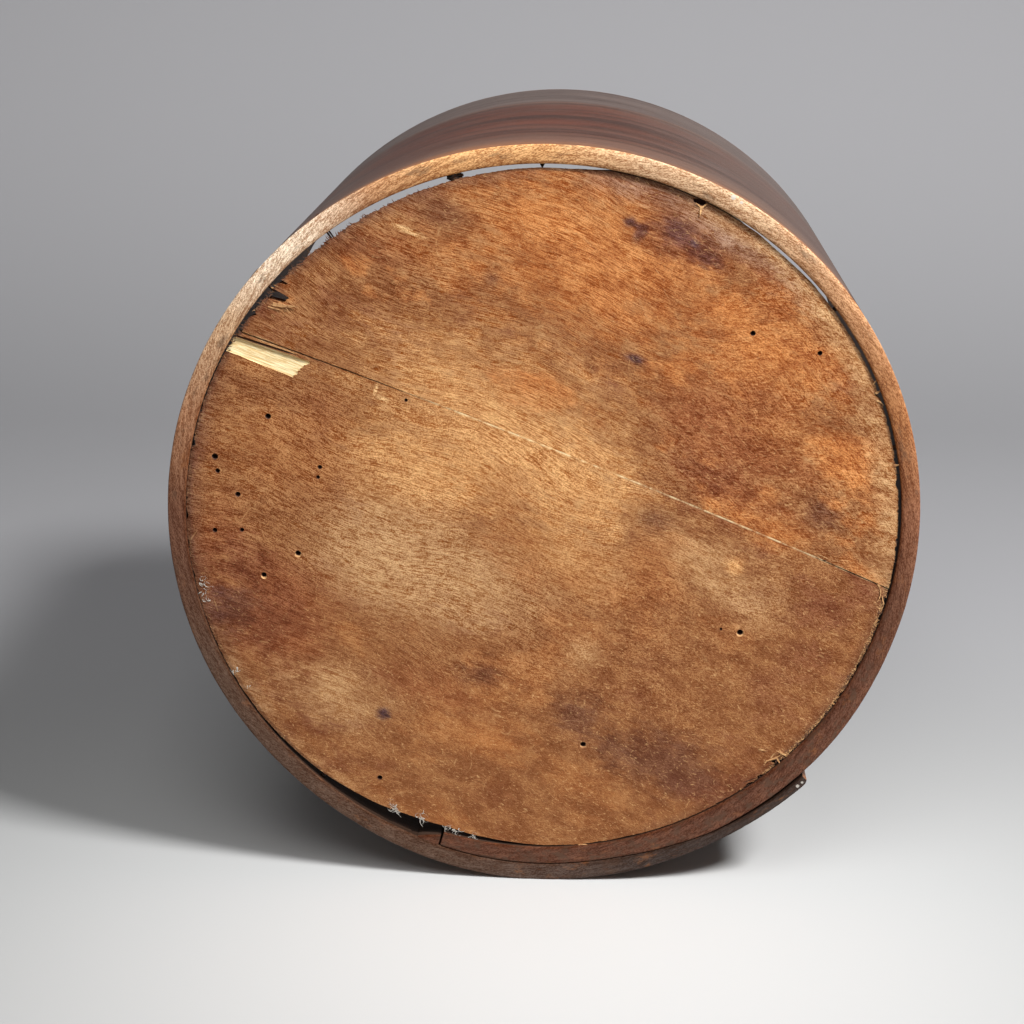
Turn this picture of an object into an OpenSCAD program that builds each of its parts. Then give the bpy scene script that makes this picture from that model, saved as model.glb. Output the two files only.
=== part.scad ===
// Round bentwood grain measure, lying on its side with its base towards -Y.
// One steam-bent board makes the wall. Its two ends overlap in a nailed lap, and the
// measure lies on that lap. The base is two boards, nailed in through the wall.
// Angles run anticlockwise as the base is faced: 0 at the right, 90 at the top.

/* [Side wall] */
// Outside diameter of the wall, away from the lap
wall_outer_d = 328; // [300:1:400]
// Thickness of the wall board
wall_t = 8; // [7:0.5:10]
// Height of the measure, from base rim to mouth
wall_h = 250; // [200:1:320]

/* [Lap] */
// Where the wall starts to swing out, on its way round to the lap
swing_start_angle = 218; // [212:1:224]
// Where the swing is complete
swing_end_angle = 271.5; // [268:0.5:276]
// How far the outer layer has swung out of the round
swing_out = 6.1; // [5:0.1:8]
// Where the inner end of the board stands
inner_end_angle = 253.6; // [250:0.1:255]
// How far the inner layer is set in from the round
inner_set_in = 2.3; // [1:0.1:3]
// Where the inner layer starts to come back to the round
set_in_end_angle = 312; // [308:1:320]
// Where the outer layer starts to be shaved thin
shave_start_angle = 280; // [278:1:284]
// Where the shaving is complete
shave_end_angle = 304; // [300:1:305]
// Depth shaved off the outside of the outer layer
outside_shave = 1; // [0.5:0.1:1.5]
// Thickness of the outer layer at its free end
outer_end_t = 4.5; // [3.5:0.1:6]
// Where the free end of the outer layer stands
outer_end_angle = 313.8; // [312:0.1:318]
// Gap between the two layers of the lap
lap_gap = 0.3; // [0.2:0.05:0.5]
// Depth worn flat where the lap lies on the floor
rest_wear = 0.25; // [0.1:0.05:0.5]

/* [Base] */
// Thickness of the base boards
base_t = 8; // [7:0.5:12]
// How far the base sits inside the rim
base_recess = 1.5; // [0:0.1:3]
// Least gap between the base and the wall
base_fit = 0.3; // [0.2:0.05:0.6]
// Direction of the grain and of the joint between the boards
grain_angle = -21.75; // [-30:0.25:-15]
// Distance from the middle of the measure to the joint
joint_offset = 31.9; // [20:0.1:45]
// Width of the open joint between the boards
joint_gap = 0.4; // [0.2:0.1:1]
// How far the upper board has shrunk towards the joint
upper_shrink = 1.5; // [0:0.1:2]
// How far the upper board has slipped along the joint
upper_slip = 1.4; // [0:0.1:1.6]
// Direction of the flat edge of the lower board
lower_flat_angle = 250; // [244:1:252]
// Depth of that flat edge
lower_flat = 3; // [1:0.1:5]

/* [Nails] */
// Shank diameter of the base nails
base_nail_d = 2.4; // [2:0.1:3]
// Head diameter of the base nails
base_head_d = 5; // [4:0.1:5.5]
// Thickness of a base nail's head
base_head_t = 1.2; // [0.8:0.1:1.6]
// Length of a base nail in the single wall
base_nail_len = 26; // [22:1:32]
// Length of a base nail through both layers of the lap
lap_base_nail_len = 34; // [31:1:40]
// Shank diameter of the lap nails
lap_nail_d = 2; // [1.6:0.1:2.6]
// Head diameter of the lap nails
lap_head_d = 4.5; // [3.5:0.1:6]
// Thickness of a lap nail's head
lap_head_t = 0.9; // [0.6:0.1:1.2]
// How far a lap nail's point stays short of the inside of the wall
lap_nail_stop = 1.5; // [1:0.1:2.5]
// Nails in each row of the lap
lap_row_count = 5; // [3:1:7]
// Distance from the rims to the end nails of a row
lap_row_margin = 22; // [18:1:40]
// Distance along the wall from the board's end to its row of lap nails
lap_row_inset = 13; // [10:0.5:18]
// How far the nail heads stand out of the wall
head_proud = 0.4; // [0.1:0.1:0.6]
// How far the heads under the lap are sunk
head_sunk = 0.4; // [0.2:0.1:0.8]
// Gap round a nail in its hole
nail_fit = 0.1; // [0.05:0.05:0.2]
// Length of a nail's point
point_len = 4; // [2:0.5:5]

/* [Hidden] */
// Nails into the upper board, the lower board and the base behind the lap
upper_nail_angles = [13.5, 38, 62.5, 90, 103.5, 125.5, 138];
lower_nail_angles = [160.5, 190, 208, 231, 317, 340];
lap_base_nail_angles = [264, 284, 300];
// Angle between the corners of the lap's curved faces
lap_step_angle = 1.5;
// Spare length of every cut that passes out of a solid
past = 1;
wall_r = wall_outer_d / 2;
bore_r = wall_r - wall_t;
round_end_angle = 360;
// The base is centred between the set-in lap and the wall across from it
lap_middle_angle = (inner_end_angle + outer_end_angle) / 2;
base_r = bore_r - inner_set_in / 2 - base_fit;
base_centre = -inner_set_in / 2 * [cos(lap_middle_angle), sin(lap_middle_angle)];
grain = [cos(grain_angle), sin(grain_angle)];
across = [-sin(grain_angle), cos(grain_angle)];
upper_centre = base_centre + upper_slip * grain - upper_shrink * across;
nail_z = base_recess + base_t / 2;
outer_row_angle = outer_end_angle - lap_row_inset / wall_r * 180 / PI;
inner_row_angle = inner_end_angle + lap_row_inset / wall_r * 180 / PI;
wall_colour = [0.36, 0.22, 0.13];
upper_colour = [0.60, 0.34, 0.16];
lower_colour = [0.55, 0.34, 0.18];
iron_colour = [0.17, 0.13, 0.11];
$fn = 96;

// Smooth step from 0 at angle a0 to 1 at angle a1
function ease(a, a0, a1) =
    let (s = max(0, min(1, (a - a0) / (a1 - a0))))
    s * s * (3 - 2 * s);

// Faces of the outer layer, from the start of the swing to the free end
function shaved(a) = ease(a, shave_start_angle, shave_end_angle);
function outer_face(a) =
    wall_r + swing_out * ease(a, swing_start_angle, swing_end_angle) - outside_shave * shaved(a);
function outer_layer_t(a) = wall_t - (wall_t - outer_end_t) * shaved(a);
function outer_back(a) = outer_face(a) - outer_layer_t(a);

// Faces of the inner layer, from the inner end to where the wall is round again
function inner_front(a) = a > outer_end_angle ? wall_r : min(wall_r, outer_back(a) - lap_gap);
function inner_face(a) = bore_r - inner_set_in * (1 - ease(a, set_in_end_angle, round_end_angle));

// Outside of the wall at any angle
function outside_r(a) = a >= swing_start_angle && a <= outer_end_angle ? outer_face(a) : wall_r;

function polar(r, a) = r * [cos(a), sin(a)];
function angles(a0, a1) =
    let (n = ceil((a1 - a0) / lap_step_angle))
    [for (i = [0:n]) a0 + (a1 - a0) * i / n];

// Lowest point of the lap, and the height of the middle of the measure over the floor
lap_low = max([for (a = angles(swing_start_angle, outer_end_angle)) -outer_face(a) * sin(a)]);
middle_z = lap_low - rest_wear;

// Turns a shape that stands on its base to lie on the lap, base towards -Y
module lay_down() {
    translate([0, -wall_h / 2, middle_z])
        rotate([90, 0, 0])
            mirror([0, 0, 1])
                children();
}

// Puts a radial piece at an angle and a height, with its outer end at radius r
module radial(a, r, z) {
    rotate(a)
        translate([r, 0, z])
            rotate([0, 90, 0])
                children();
}

module nail(d, head_d, head_t, len) {
    translate([0, 0, -head_t])
        cylinder(d = head_d, h = head_t);
    translate([0, 0, point_len - len])
        cylinder(d = d, h = len - point_len - head_t / 2);
    translate([0, 0, -len])
        cylinder(d1 = d / 4, d2 = d, h = point_len);
}

// Hole for a nail: a drilled bore with a seat for the head
module nail_hole(d, head_d, head_t, len) {
    translate([0, 0, -head_t - nail_fit])
        cylinder(d = head_d + 2 * nail_fit, h = head_t + nail_fit + past + head_sunk);
    translate([0, 0, -len - nail_fit])
        cylinder(d = d + 2 * nail_fit, h = len);
}

module base_nail_at(a) {
    radial(a, outside_r(a) + head_proud, nail_z)
        children();
}

module lap_base_nail_at(a) {
    radial(a, outside_r(a) - head_sunk, nail_z)
        children();
}

module lap_row_at(a) {
    pitch = (wall_h - 2 * lap_row_margin) / (lap_row_count - 1);
    for (i = [0:lap_row_count - 1])
        radial(a, outside_r(a) + head_proud, lap_row_margin + i * pitch)
            children();
}

function lap_nail_len(a) = outside_r(a) + head_proud - inner_face(a) - lap_nail_stop;

module base_nail() {
    nail(base_nail_d, base_head_d, base_head_t, base_nail_len);
}

module base_nail_hole() {
    nail_hole(base_nail_d, base_head_d, base_head_t, base_nail_len);
}

module lap_base_nail() {
    nail(base_nail_d, base_head_d, base_head_t, lap_base_nail_len);
}

module lap_base_nail_hole() {
    nail_hole(base_nail_d, base_head_d, base_head_t, lap_base_nail_len);
}

module lap_nail(a) {
    nail(lap_nail_d, lap_head_d, lap_head_t, lap_nail_len(a));
}

module lap_nail_hole(a) {
    nail_hole(lap_nail_d, lap_head_d, lap_head_t, lap_nail_len(a));
}

// Every hole that the nails need, in the wall and in the base
module nail_holes() {
    for (a = concat(upper_nail_angles, lower_nail_angles))
        base_nail_at(a)
            base_nail_hole();
    for (a = lap_base_nail_angles)
        lap_base_nail_at(a)
            lap_base_nail_hole();
    for (a = [inner_row_angle, outer_row_angle])
        lap_row_at(a)
            lap_nail_hole(a);
}

// The round part of the wall board
module round_wall() {
    rotate_extrude(angle = swing_start_angle)
        translate([bore_r, 0])
            square([wall_t, wall_h]);
}

// The layer that swings out over the lap and ends free
module outer_layer() {
    turn = angles(swing_start_angle, outer_end_angle);
    back = [for (i = [len(turn) - 1:-1:0]) polar(outer_back(turn[i]), turn[i])];
    linear_extrude(wall_h)
        polygon(concat([for (a = turn) polar(outer_face(a), a)], back));
}

// The layer that starts inside the lap and runs out into the round
module inner_layer() {
    turn = angles(inner_end_angle, round_end_angle);
    back = [for (i = [len(turn) - 1:-1:0]) polar(inner_face(turn[i]), turn[i])];
    linear_extrude(wall_h)
        polygon(concat([for (a = turn) polar(inner_front(a), a)], back));
}

// What the floor has worn off the lap
module floor_wear() {
    translate([-wall_r, -middle_z - past, -past])
        cube([wall_outer_d, past, wall_h + 2 * past]);
}

module side_wall() {
    color(wall_colour)
        lay_down()
            difference() {
                union() {
                    round_wall();
                    outer_layer();
                    inner_layer();
                }
                floor_wear();
                nail_holes();
            }
}

module base_disc(centre) {
    translate([centre.x, centre.y, base_recess])
        cylinder(r = base_r, h = base_t, $fn = 180);
}

// All that lies on one side of the joint: side 1 is above it, side -1 below
module joint_side(side) {
    edge = joint_offset + side * joint_gap / 2;
    rotate(grain_angle)
        translate([-wall_outer_d, side > 0 ? edge : edge - wall_outer_d, 0])
            cube([2 * wall_outer_d, wall_outer_d, wall_h]);
}

// What the flat edge takes off the lower board
module flat_edge() {
    rotate(lower_flat_angle)
        translate([base_r - lower_flat, -wall_r, 0])
            cube([wall_r, wall_outer_d, wall_h]);
}

module base_board_upper() {
    color(upper_colour)
        lay_down()
            difference() {
                intersection() {
                    base_disc(upper_centre);
                    joint_side(1);
                }
                nail_holes();
            }
}

module base_board_lower() {
    color(lower_colour)
        lay_down()
            difference() {
                intersection() {
                    base_disc(base_centre);
                    joint_side(-1);
                }
                flat_edge();
                nail_holes();
            }
}

module base_nails_upper() {
    color(iron_colour)
        lay_down()
            for (a = upper_nail_angles)
                base_nail_at(a)
                    base_nail();
}

module base_nails_lower() {
    color(iron_colour)
        lay_down()
            for (a = lower_nail_angles)
                base_nail_at(a)
                    base_nail();
}

module base_nails_lap() {
    color(iron_colour)
        lay_down()
            for (a = lap_base_nail_angles)
                lap_base_nail_at(a)
                    lap_base_nail();
}

module lap_nails_inner_end() {
    color(iron_colour)
        lay_down()
            lap_row_at(inner_row_angle)
                lap_nail(inner_row_angle);
}

module lap_nails_outer_end() {
    color(iron_colour)
        lay_down()
            lap_row_at(outer_row_angle)
                lap_nail(outer_row_angle);
}

side_wall();
base_board_upper();
base_board_lower();
base_nails_upper();
base_nails_lower();
base_nails_lap();
lap_nails_inner_end();
lap_nails_outer_end();
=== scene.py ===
"""Round bentwood grain measure, dressed over its CAD frame.

The wall is one bent board whose ends lap under the measure. The base is two boards, nailed in
through the wall. Angles run anticlockwise as the base is faced: 0 at the right, 90 at the top.
Places on the base are in the grain's own frame: along the grain, and across it towards the top.
"""
import math
import random
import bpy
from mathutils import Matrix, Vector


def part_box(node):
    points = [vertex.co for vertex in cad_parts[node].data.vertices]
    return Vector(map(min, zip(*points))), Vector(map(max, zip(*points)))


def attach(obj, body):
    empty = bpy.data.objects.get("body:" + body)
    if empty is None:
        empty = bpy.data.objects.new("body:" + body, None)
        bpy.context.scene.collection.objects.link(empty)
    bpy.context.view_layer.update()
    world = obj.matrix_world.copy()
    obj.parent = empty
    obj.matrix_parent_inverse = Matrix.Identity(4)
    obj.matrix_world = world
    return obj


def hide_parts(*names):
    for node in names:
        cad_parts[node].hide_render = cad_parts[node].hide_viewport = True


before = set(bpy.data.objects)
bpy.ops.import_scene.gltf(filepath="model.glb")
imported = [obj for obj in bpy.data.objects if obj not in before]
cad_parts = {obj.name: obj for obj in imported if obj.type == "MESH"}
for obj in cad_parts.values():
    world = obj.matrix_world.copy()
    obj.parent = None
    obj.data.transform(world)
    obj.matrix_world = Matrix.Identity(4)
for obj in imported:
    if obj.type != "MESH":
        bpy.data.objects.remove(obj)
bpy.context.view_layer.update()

from types import SimpleNamespace

import bmesh
import bpy
import numpy as np
from bpy.props import FloatProperty, FloatVectorProperty, PointerProperty
from mathutils import Matrix, Vector, noise

bl_info = {
    "name": "Grain Measure",
    "version": (1, 0, 0),
    "blender": (4, 5, 0),
    "location": "3D View > Sidebar > Measure",
    "description": "Models a round bentwood grain measure over its CAD frame",
    "category": "Add Mesh",
}

MM = 0.001
WALL_LO, WALL_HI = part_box("side_wall")
BASE_LO, BASE_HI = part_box("base_board_lower")
OUTER_RADIUS = (WALL_HI.x - WALL_LO.x) / 2
MIDDLE_Z = WALL_HI.z - OUTER_RADIUS


def length(name, text, value):
    """A length in metres that a user may change."""
    return FloatProperty(name=name, description=text, default=value, min=0, unit="LENGTH", precision=5)


def angle(name, text, degrees):
    """An angle that a user may change."""
    return FloatProperty(name=name, description=text, default=math.radians(degrees), subtype="ANGLE")


def colour(name, text, red, green, blue):
    """A colour that a user may change."""
    return FloatVectorProperty(
        name=name, description=text, default=(red, green, blue), size=3, min=0, max=1, subtype="COLOR")


class MeasureSizes(bpy.types.PropertyGroup):
    """Sizes of the wall, the lap and the base."""
    outer_radius: length("Outer radius", "Outside radius of the wall, away from the lap", OUTER_RADIUS)
    wall_thickness: length("Wall thickness", "Thickness of the wall board", 8 * MM)
    wall_height: length("Wall height", "From the base rim to the mouth", WALL_HI.y - WALL_LO.y)
    inner_end: angle("Inner end", "Where the inner end of the wall board stands", 253.6)
    outer_end: angle("Outer end", "Where the free outer end of the wall board stands", 315.6)
    swing_start: angle("Swing start", "Where the wall starts to swing out to the lap", 218)
    swing_end: angle("Swing end", "Where the swing is complete", 271.5)
    swing_out: length("Swing out", "How far the outer layer swings out of the round", 6.1 * MM)
    set_in: length("Set in", "How far the inner layer is set in from the round", 2.3 * MM)
    set_in_end: angle("Set in end", "Where the inner layer starts to come back to the round", 312)
    shave_start: angle("Shave start", "Where the outer layer starts to be shaved thin", 280)
    shave_end: angle("Shave end", "Where the shaving is complete", 304)
    outside_shave: length("Outside shave", "Depth shaved off the outside of the outer layer", 1 * MM)
    outer_end_thickness: length("Outer end thickness", "Thickness of the outer layer at its end", 4.5 * MM)
    lap_gap: length("Lap gap", "Gap between the two layers of the lap", 0.3 * MM)
    end_lift: length("End lift", "How far the free end has lifted off the layer under it", 0.9 * MM)
    arris: length("Arris", "Rounding worn on the long edges of the wall board", 0.6 * MM)
    base_thickness: length("Base thickness", "Thickness of the base boards", BASE_HI.y - BASE_LO.y)
    base_radius: length("Base radius", "Radius of the base", 154.55 * MM)
    back_chamfer: length("Back chamfer", "How far the edge of the base slopes in at its back", 1.6 * MM)
    grain: angle("Grain", "Direction of the base boards' grain and of their joint", -21.75)
    joint: length("Joint", "Distance from the middle of the measure to the joint", 31.9 * MM)


class MeasureColours(bpy.types.PropertyGroup):
    """Colours of the old wood and the iron."""
    base_brown: colour("Base brown", "Main tone of the base", 0.258, 0.100, 0.036)
    base_amber: colour("Base amber", "Warm orange tone of the upper board", 0.425, 0.147, 0.042)
    base_fawn: colour("Base fawn", "Lighter brown of the lower board", 0.328, 0.125, 0.042)
    base_gold: colour("Base gold", "Palest tone of the base, where it is worn bare", 0.570, 0.276, 0.103)
    base_tan: colour("Base tan", "Greyish tan where the base is rubbed", 0.440, 0.228, 0.098)
    base_red: colour("Base red", "Red-brown tone of the base", 0.245, 0.077, 0.027)
    base_deep: colour("Base deep red", "Deep red-brown stains on the base", 0.175, 0.053, 0.023)
    base_dark: colour("Base dark", "Dark stains on the base", 0.120, 0.045, 0.026)
    base_grey: colour("Base grey", "Dull grey-brown along the edges of the base", 0.240, 0.120, 0.074)
    base_fibre: colour("Base fibre", "Loose pale fibres on the base", 0.72, 0.430, 0.190)
    # Also the colour of the thin painted shade lines along the edge of the base
    base_pore_and_shade: colour("Base pore", "Dark pores between the fibres", 0.110, 0.045, 0.022)
    purple_stain: colour("Purple stain", "Old purple-black stains on the base", 0.070, 0.034, 0.040)
    raw_wood: colour("Raw wood", "Wood freshly torn open", 0.90, 0.750, 0.440)
    splinter: colour("Splinter", "Splinters and torn fibres", 0.48, 0.250, 0.100)
    lint: colour("Lint", "White lint caught on the edges", 0.54, 0.50, 0.44)
    wall_brown: colour("Wall brown", "Outside of the wall", 0.076, 0.037, 0.025)
    wall_red: colour("Wall red", "Red streaks in the wall", 0.128, 0.050, 0.030)
    wall_dark: colour("Wall dark", "Dark streaks in the wall", 0.034, 0.021, 0.017)
    wall_dust: colour("Wall dust", "Dusty brown of the wall near the base", 0.146, 0.084, 0.059)
    # Painted grey sheen on the sides of the wall; also the pale veins in the grey band round the mouth
    wall_ash_and_sheen: colour("Wall ash", "Dull grey-brown film on the sides of the wall", 0.140, 0.108, 0.096)
    wall_grey: colour("Wall grey", "Weathered band round the mouth", 0.110, 0.084, 0.074)
    rim_pale: colour("Rim pale", "Rim where it is rubbed almost white", 0.690, 0.500, 0.340)
    rim_cream: colour("Rim cream", "Rim where it is worn pale", 0.490, 0.295, 0.162)
    rim_gold: colour("Rim gold", "Rim where it is gold", 0.530, 0.262, 0.102)
    rim_honey: colour("Rim honey", "Rim where it is honey brown", 0.420, 0.203, 0.092)
    rim_orange: colour("Rim orange", "Rim where it is orange-brown", 0.300, 0.116, 0.041)
    rim_russet: colour("Rim russet", "Rim where it is red-brown", 0.200, 0.076, 0.036)
    rim_umber: colour("Rim umber", "Rim where it is umber", 0.300, 0.136, 0.066)
    rim_brown: colour("Rim brown", "Rim where it is dark", 0.118, 0.046, 0.024)
    rim_dark: colour("Rim dark", "Rim where it is darkest", 0.090, 0.048, 0.030)
    lap_brown: colour("Lap brown", "Rim of the inner layer of the lap", 0.102, 0.039, 0.021)
    lap_grey: colour("Lap grey", "Rim of the outer layer of the lap", 0.082, 0.048, 0.034)
    lap_dark: colour("Lap dark", "Rim of the free outer end", 0.042, 0.027, 0.021)
    # Painted shade on the inside of the wall beside the base; also the dark streaks of its grain
    inside_shade_and_streaks: colour("Inside dark", "Inside of the wall beside the base", 0.050, 0.029, 0.020)
    inside_brown: colour("Inside brown", "Inside of the wall", 0.200, 0.112, 0.064)
    iron: colour("Iron", "Dark iron of the nails", 0.030, 0.024, 0.022)
    rust: colour("Rust", "Rust on the nails", 0.150, 0.055, 0.022)
    floor: colour("Floor", "Floor round the measure", 0.53, 0.532, 0.528)
    # Painted shade: the floor darkens away from its painted pool of light
    floor_far_shade: colour("Floor far", "Floor farther from the measure", 0.32, 0.322, 0.320)
    # Painted shade: a darker band where the paper starts to rise
    bend: colour("Bend", "Where the paper starts to rise behind the measure", 0.310, 0.308, 0.318)
    backdrop: colour("Backdrop", "Back of the sweep", 0.47, 0.465, 0.480)


class MeasureView(bpy.types.PropertyGroup):
    """The camera and the lamps."""
    eye: FloatVectorProperty(
        name="Eye", description="Place of the camera", default=(0.02802, -0.94294, 0.42927), size=3,
        subtype="TRANSLATION", unit="LENGTH")
    pitch: angle("Pitch", "How far the camera looks down", 17.154)
    yaw: angle("Yaw", "How far the camera looks to the left", 2.823)
    lens: FloatProperty(name="Lens", description="Focal length on a 36 mm frame", default=69.52, min=1)
    key_power: FloatProperty(
        name="Key power", description="Lamp at the front right", default=43, unit="POWER")
    fill_power: FloatProperty(
        name="Fill power", description="Lamp above the front", default=25, unit="POWER")
    ambient: FloatProperty(name="Ambient", description="Even light from all round", default=0.15, min=0)


def sizes():
    """The sizes in the scene."""
    return bpy.context.scene.measure_sizes


def colours():
    """The colours in the scene."""
    return bpy.context.scene.measure_colours


# Shape of the wall and the base

TURN = 2 * math.pi
# The free outer end: where it starts to lift, how far its tip is worn back, and over what angle
END_LIFT_START = math.radians(296)
END_WEAR = 0.9 * MM
END_WEAR_SPAN = math.radians(0.9)
# Where the sag of the old wall fades out before the lap, and where it comes back after it
SAG_FADES = (math.radians(214), math.radians(246))
SAG_RETURNS = (math.radians(316), math.radians(344))
# Sag out of the round: waves in a turn, and the cosine and sine parts of each in millimetres
SAG_WAVES = ((2, -0.75, 0.58), (3, 0.0, 0.26))
# Bow of the joint in millimetres: where it stands highest, how high, and how it falls away on each side
BOW_MIDDLE = 7.0
BOW_TOP = 34.1
BOW_FALL = 1.2e-4


def ease(a, start, end):
    """Smooth step from 0 at start to 1 at end."""
    s = np.clip((np.asarray(a, float) - start) / (end - start), 0, 1)
    return s * s * (3 - 2 * s)


def board_turn():
    """Angle that the wall board runs through, from its inner end to its outer end."""
    size = sizes()
    return size.outer_end + TURN - size.inner_end


def board_length():
    """Length of the wall board before it is bent."""
    return board_turn() * sizes().outer_radius


def board_share(degrees):
    """How far along the wall board a direction lies, from 0 at its inner end to 1 at its outer end."""
    return (math.radians(degrees) - sizes().inner_end) / board_turn()


def outer_layer(a):
    """Back and face of the layer that swings out over the lap."""
    size = sizes()
    shaved = ease(a, size.shave_start, size.shave_end)
    face = size.outer_radius + size.swing_out * ease(a, size.swing_start, size.swing_end)
    face = face - size.outside_shave * shaved
    back = face - size.wall_thickness + (size.wall_thickness - size.outer_end_thickness) * shaved
    return back, face


def wall_faces(a):
    """Inside and outside radius of the wall board, at angles that run on past one turn."""
    size = sizes()
    back, face = outer_layer(a - TURN)
    back = back + size.end_lift * ease(a - TURN, END_LIFT_START, size.outer_end)
    face = face - END_WEAR * ease(a - TURN, size.outer_end - END_WEAR_SPAN, size.outer_end) ** 2
    under, _ = outer_layer(a)
    covered = np.minimum(size.outer_radius, under - size.lap_gap)
    front = np.where(a > size.outer_end, size.outer_radius, covered)
    bore = size.outer_radius - size.wall_thickness
    inside = bore - size.set_in * (1 - ease(a, size.set_in_end, TURN))
    first = a < TURN
    return np.where(first, inside, back), np.where(first, front, face)


def out_of_round(a):
    """How far the old wall has gone out of the round, away from the lap."""
    a = np.mod(a, TURN)
    away = 1 - ease(a, *SAG_FADES) + ease(a, *SAG_RETURNS)
    sag = sum(cosine * np.cos(waves * a) + sine * np.sin(waves * a) for waves, cosine, sine in SAG_WAVES)
    return sag * away * MM


def grain_axes():
    """Unit vectors along and across the base's grain."""
    g = sizes().grain
    return Vector((math.cos(g), 0, math.sin(g))), Vector((-math.sin(g), 0, math.cos(g)))


def on_base(along, across, depth=0.0):
    """Point on the face of the base, in millimetres in the grain's frame, at a depth under the face."""
    u, v = grain_axes()
    return Vector((0, BASE_LO.y + depth * MM, MIDDLE_Z)) + u * along * MM + v * across * MM


# Modelling by hand

def deselect():
    """Leaves nothing selected."""
    if bpy.context.mode != "OBJECT":
        bpy.ops.object.mode_set(mode="OBJECT")
    bpy.ops.object.select_all(action="DESELECT")


def take(*pieces):
    """Selects these pieces alone, the last one active."""
    deselect()
    for piece in pieces:
        piece.select_set(True)
    bpy.context.view_layer.objects.active = pieces[-1]


def settle(piece, name):
    """Names a piece and puts its place into its mesh."""
    take(piece)
    bpy.ops.object.transform_apply(location=True, rotation=True, scale=True)
    piece.name = name
    piece.data.name = name
    return piece


def edit():
    """Goes into edit mode with everything selected."""
    bpy.ops.object.mode_set(mode="EDIT")
    bpy.ops.mesh.select_all(action="SELECT")


def leave():
    """Goes back to object mode."""
    bpy.ops.object.mode_set(mode="OBJECT")


def face_outwards():
    """Turns every face of the piece outwards and goes back to object mode."""
    bpy.ops.mesh.select_all(action="SELECT")
    bpy.ops.mesh.normals_make_consistent(inside=False)
    leave()


def draw_out(x, y, z):
    """Extrudes what is selected."""
    bpy.ops.mesh.extrude_region_move(TRANSFORM_OT_translate={"value": (x, y, z)})


def cut_through(place, normal):
    """Cuts new edges across the whole piece, along a plane."""
    bpy.ops.mesh.select_all(action="SELECT")
    bpy.ops.mesh.bisect(plane_co=place, plane_no=normal)


def run_of(edge):
    """How far an edge runs along X."""
    return abs(edge.verts[0].co.x - edge.verts[1].co.x)


def choose(piece, kind, test):
    """In edit mode, selects the verts, edges or faces that pass a test, and nothing else."""
    bpy.ops.mesh.select_mode(type=kind)
    bpy.ops.mesh.select_all(action="DESELECT")
    shape = bmesh.from_edit_mesh(piece.data)
    for part in {"VERT": shape.verts, "EDGE": shape.edges, "FACE": shape.faces}[kind]:
        if test(part):
            part.select_set(True)
    bmesh.update_edit_mesh(piece.data)


def points_of(piece):
    """Vertex places of a piece, one row each."""
    rows = np.empty(len(piece.data.vertices) * 3)
    piece.data.vertices.foreach_get("co", rows)
    return rows.reshape(-1, 3)


def move_points(piece, rows):
    """Puts the vertices of a piece at new places."""
    piece.data.vertices.foreach_set("co", np.ascontiguousarray(rows, dtype=float).ravel())
    piece.data.update()


def apply_boolean(piece, cutter):
    """Cuts one piece by another and throws the cutter away."""
    take(piece)
    tool = piece.modifiers.new("cut", "BOOLEAN")
    tool.operation = "DIFFERENCE"
    tool.solver = "EXACT"
    tool.use_self = False
    tool.material_mode = "INDEX"
    tool.object = cutter
    bpy.ops.object.modifier_apply(modifier=tool.name)
    bpy.data.objects.remove(cutter, do_unlink=True)


def join(pieces, name):
    """Makes one piece of several."""
    take(*pieces)
    bpy.ops.object.join()
    piece = bpy.context.active_object
    piece.name = name
    piece.data.name = name
    return piece


def paint(piece, index):
    """Gives every face of a piece one material slot."""
    for face in piece.data.polygons:
        face.material_index = index


def speck(x, y, z, scale):
    """Smooth random value from -1 to 1 at a place in metres, with features of about one scale."""
    return noise.noise(Vector((x / scale, y / scale, z / scale)))


# Materials

def new_material(name):
    """Empty node material with a Principled shader."""
    material = bpy.data.materials.new(name)
    material.use_nodes = True
    tree = material.node_tree
    shader = tree.nodes["Principled BSDF"]
    return material, tree, shader


def is_socket(value):
    """True for an output of a node, False for a plain value."""
    return isinstance(value, bpy.types.NodeSocket)


def connect(item, inputs):
    """Fills the inputs of a node: an output of another node is linked, a plain value is set."""
    for key, value in inputs.items():
        if is_socket(value):
            item.id_data.links.new(value, item.inputs[key])
        else:
            item.inputs[key].default_value = value


def add(tree, kind, inputs=None, **settings):
    """Adds a node, with its settings and its inputs."""
    item = tree.nodes.new("ShaderNode" + kind)
    for key, value in settings.items():
        setattr(item, key, value)
    connect(item, inputs or {})
    return item


def tree_of(*values):
    """Node tree of the first socket among some values."""
    return next(value.id_data for value in values if is_socket(value))


def object_place(tree):
    """Place on the piece, in metres."""
    return add(tree, "TexCoord").outputs["Object"]


def maths(operation, a, b=0.0):
    """Result of a sum on two values."""
    return add(tree_of(a, b), "Math", {0: a, 1: b}, operation=operation).outputs[0]


def times(a, b):
    """Product of two values."""
    return maths("MULTIPLY", a, b)


def plus(a, b):
    """Sum of two values."""
    return maths("ADD", a, b)


def minus(a, b):
    """The first value less the second."""
    return maths("SUBTRACT", a, b)


def apart(a, b):
    """How far apart two values lie."""
    return maths("ABSOLUTE", minus(a, b))


def toward(a, b, share):
    """Part of the way from one value to another."""
    return plus(a, times(minus(b, a), share))


def swing(value, amount):
    """A noise, which lies about 0.5, made to swing about 0 by an amount."""
    return times(minus(value, 0.5), amount)


def vectors(operation, a, b=(0, 0, 0)):
    """Result of a sum on two places: a number for a length, a distance or a dot product."""
    item = add(tree_of(a), "VectorMath", {0: a, 1: b}, operation=operation)
    return item.outputs["Value" if operation in ("LENGTH", "DISTANCE", "DOT_PRODUCT") else "Vector"]


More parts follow.
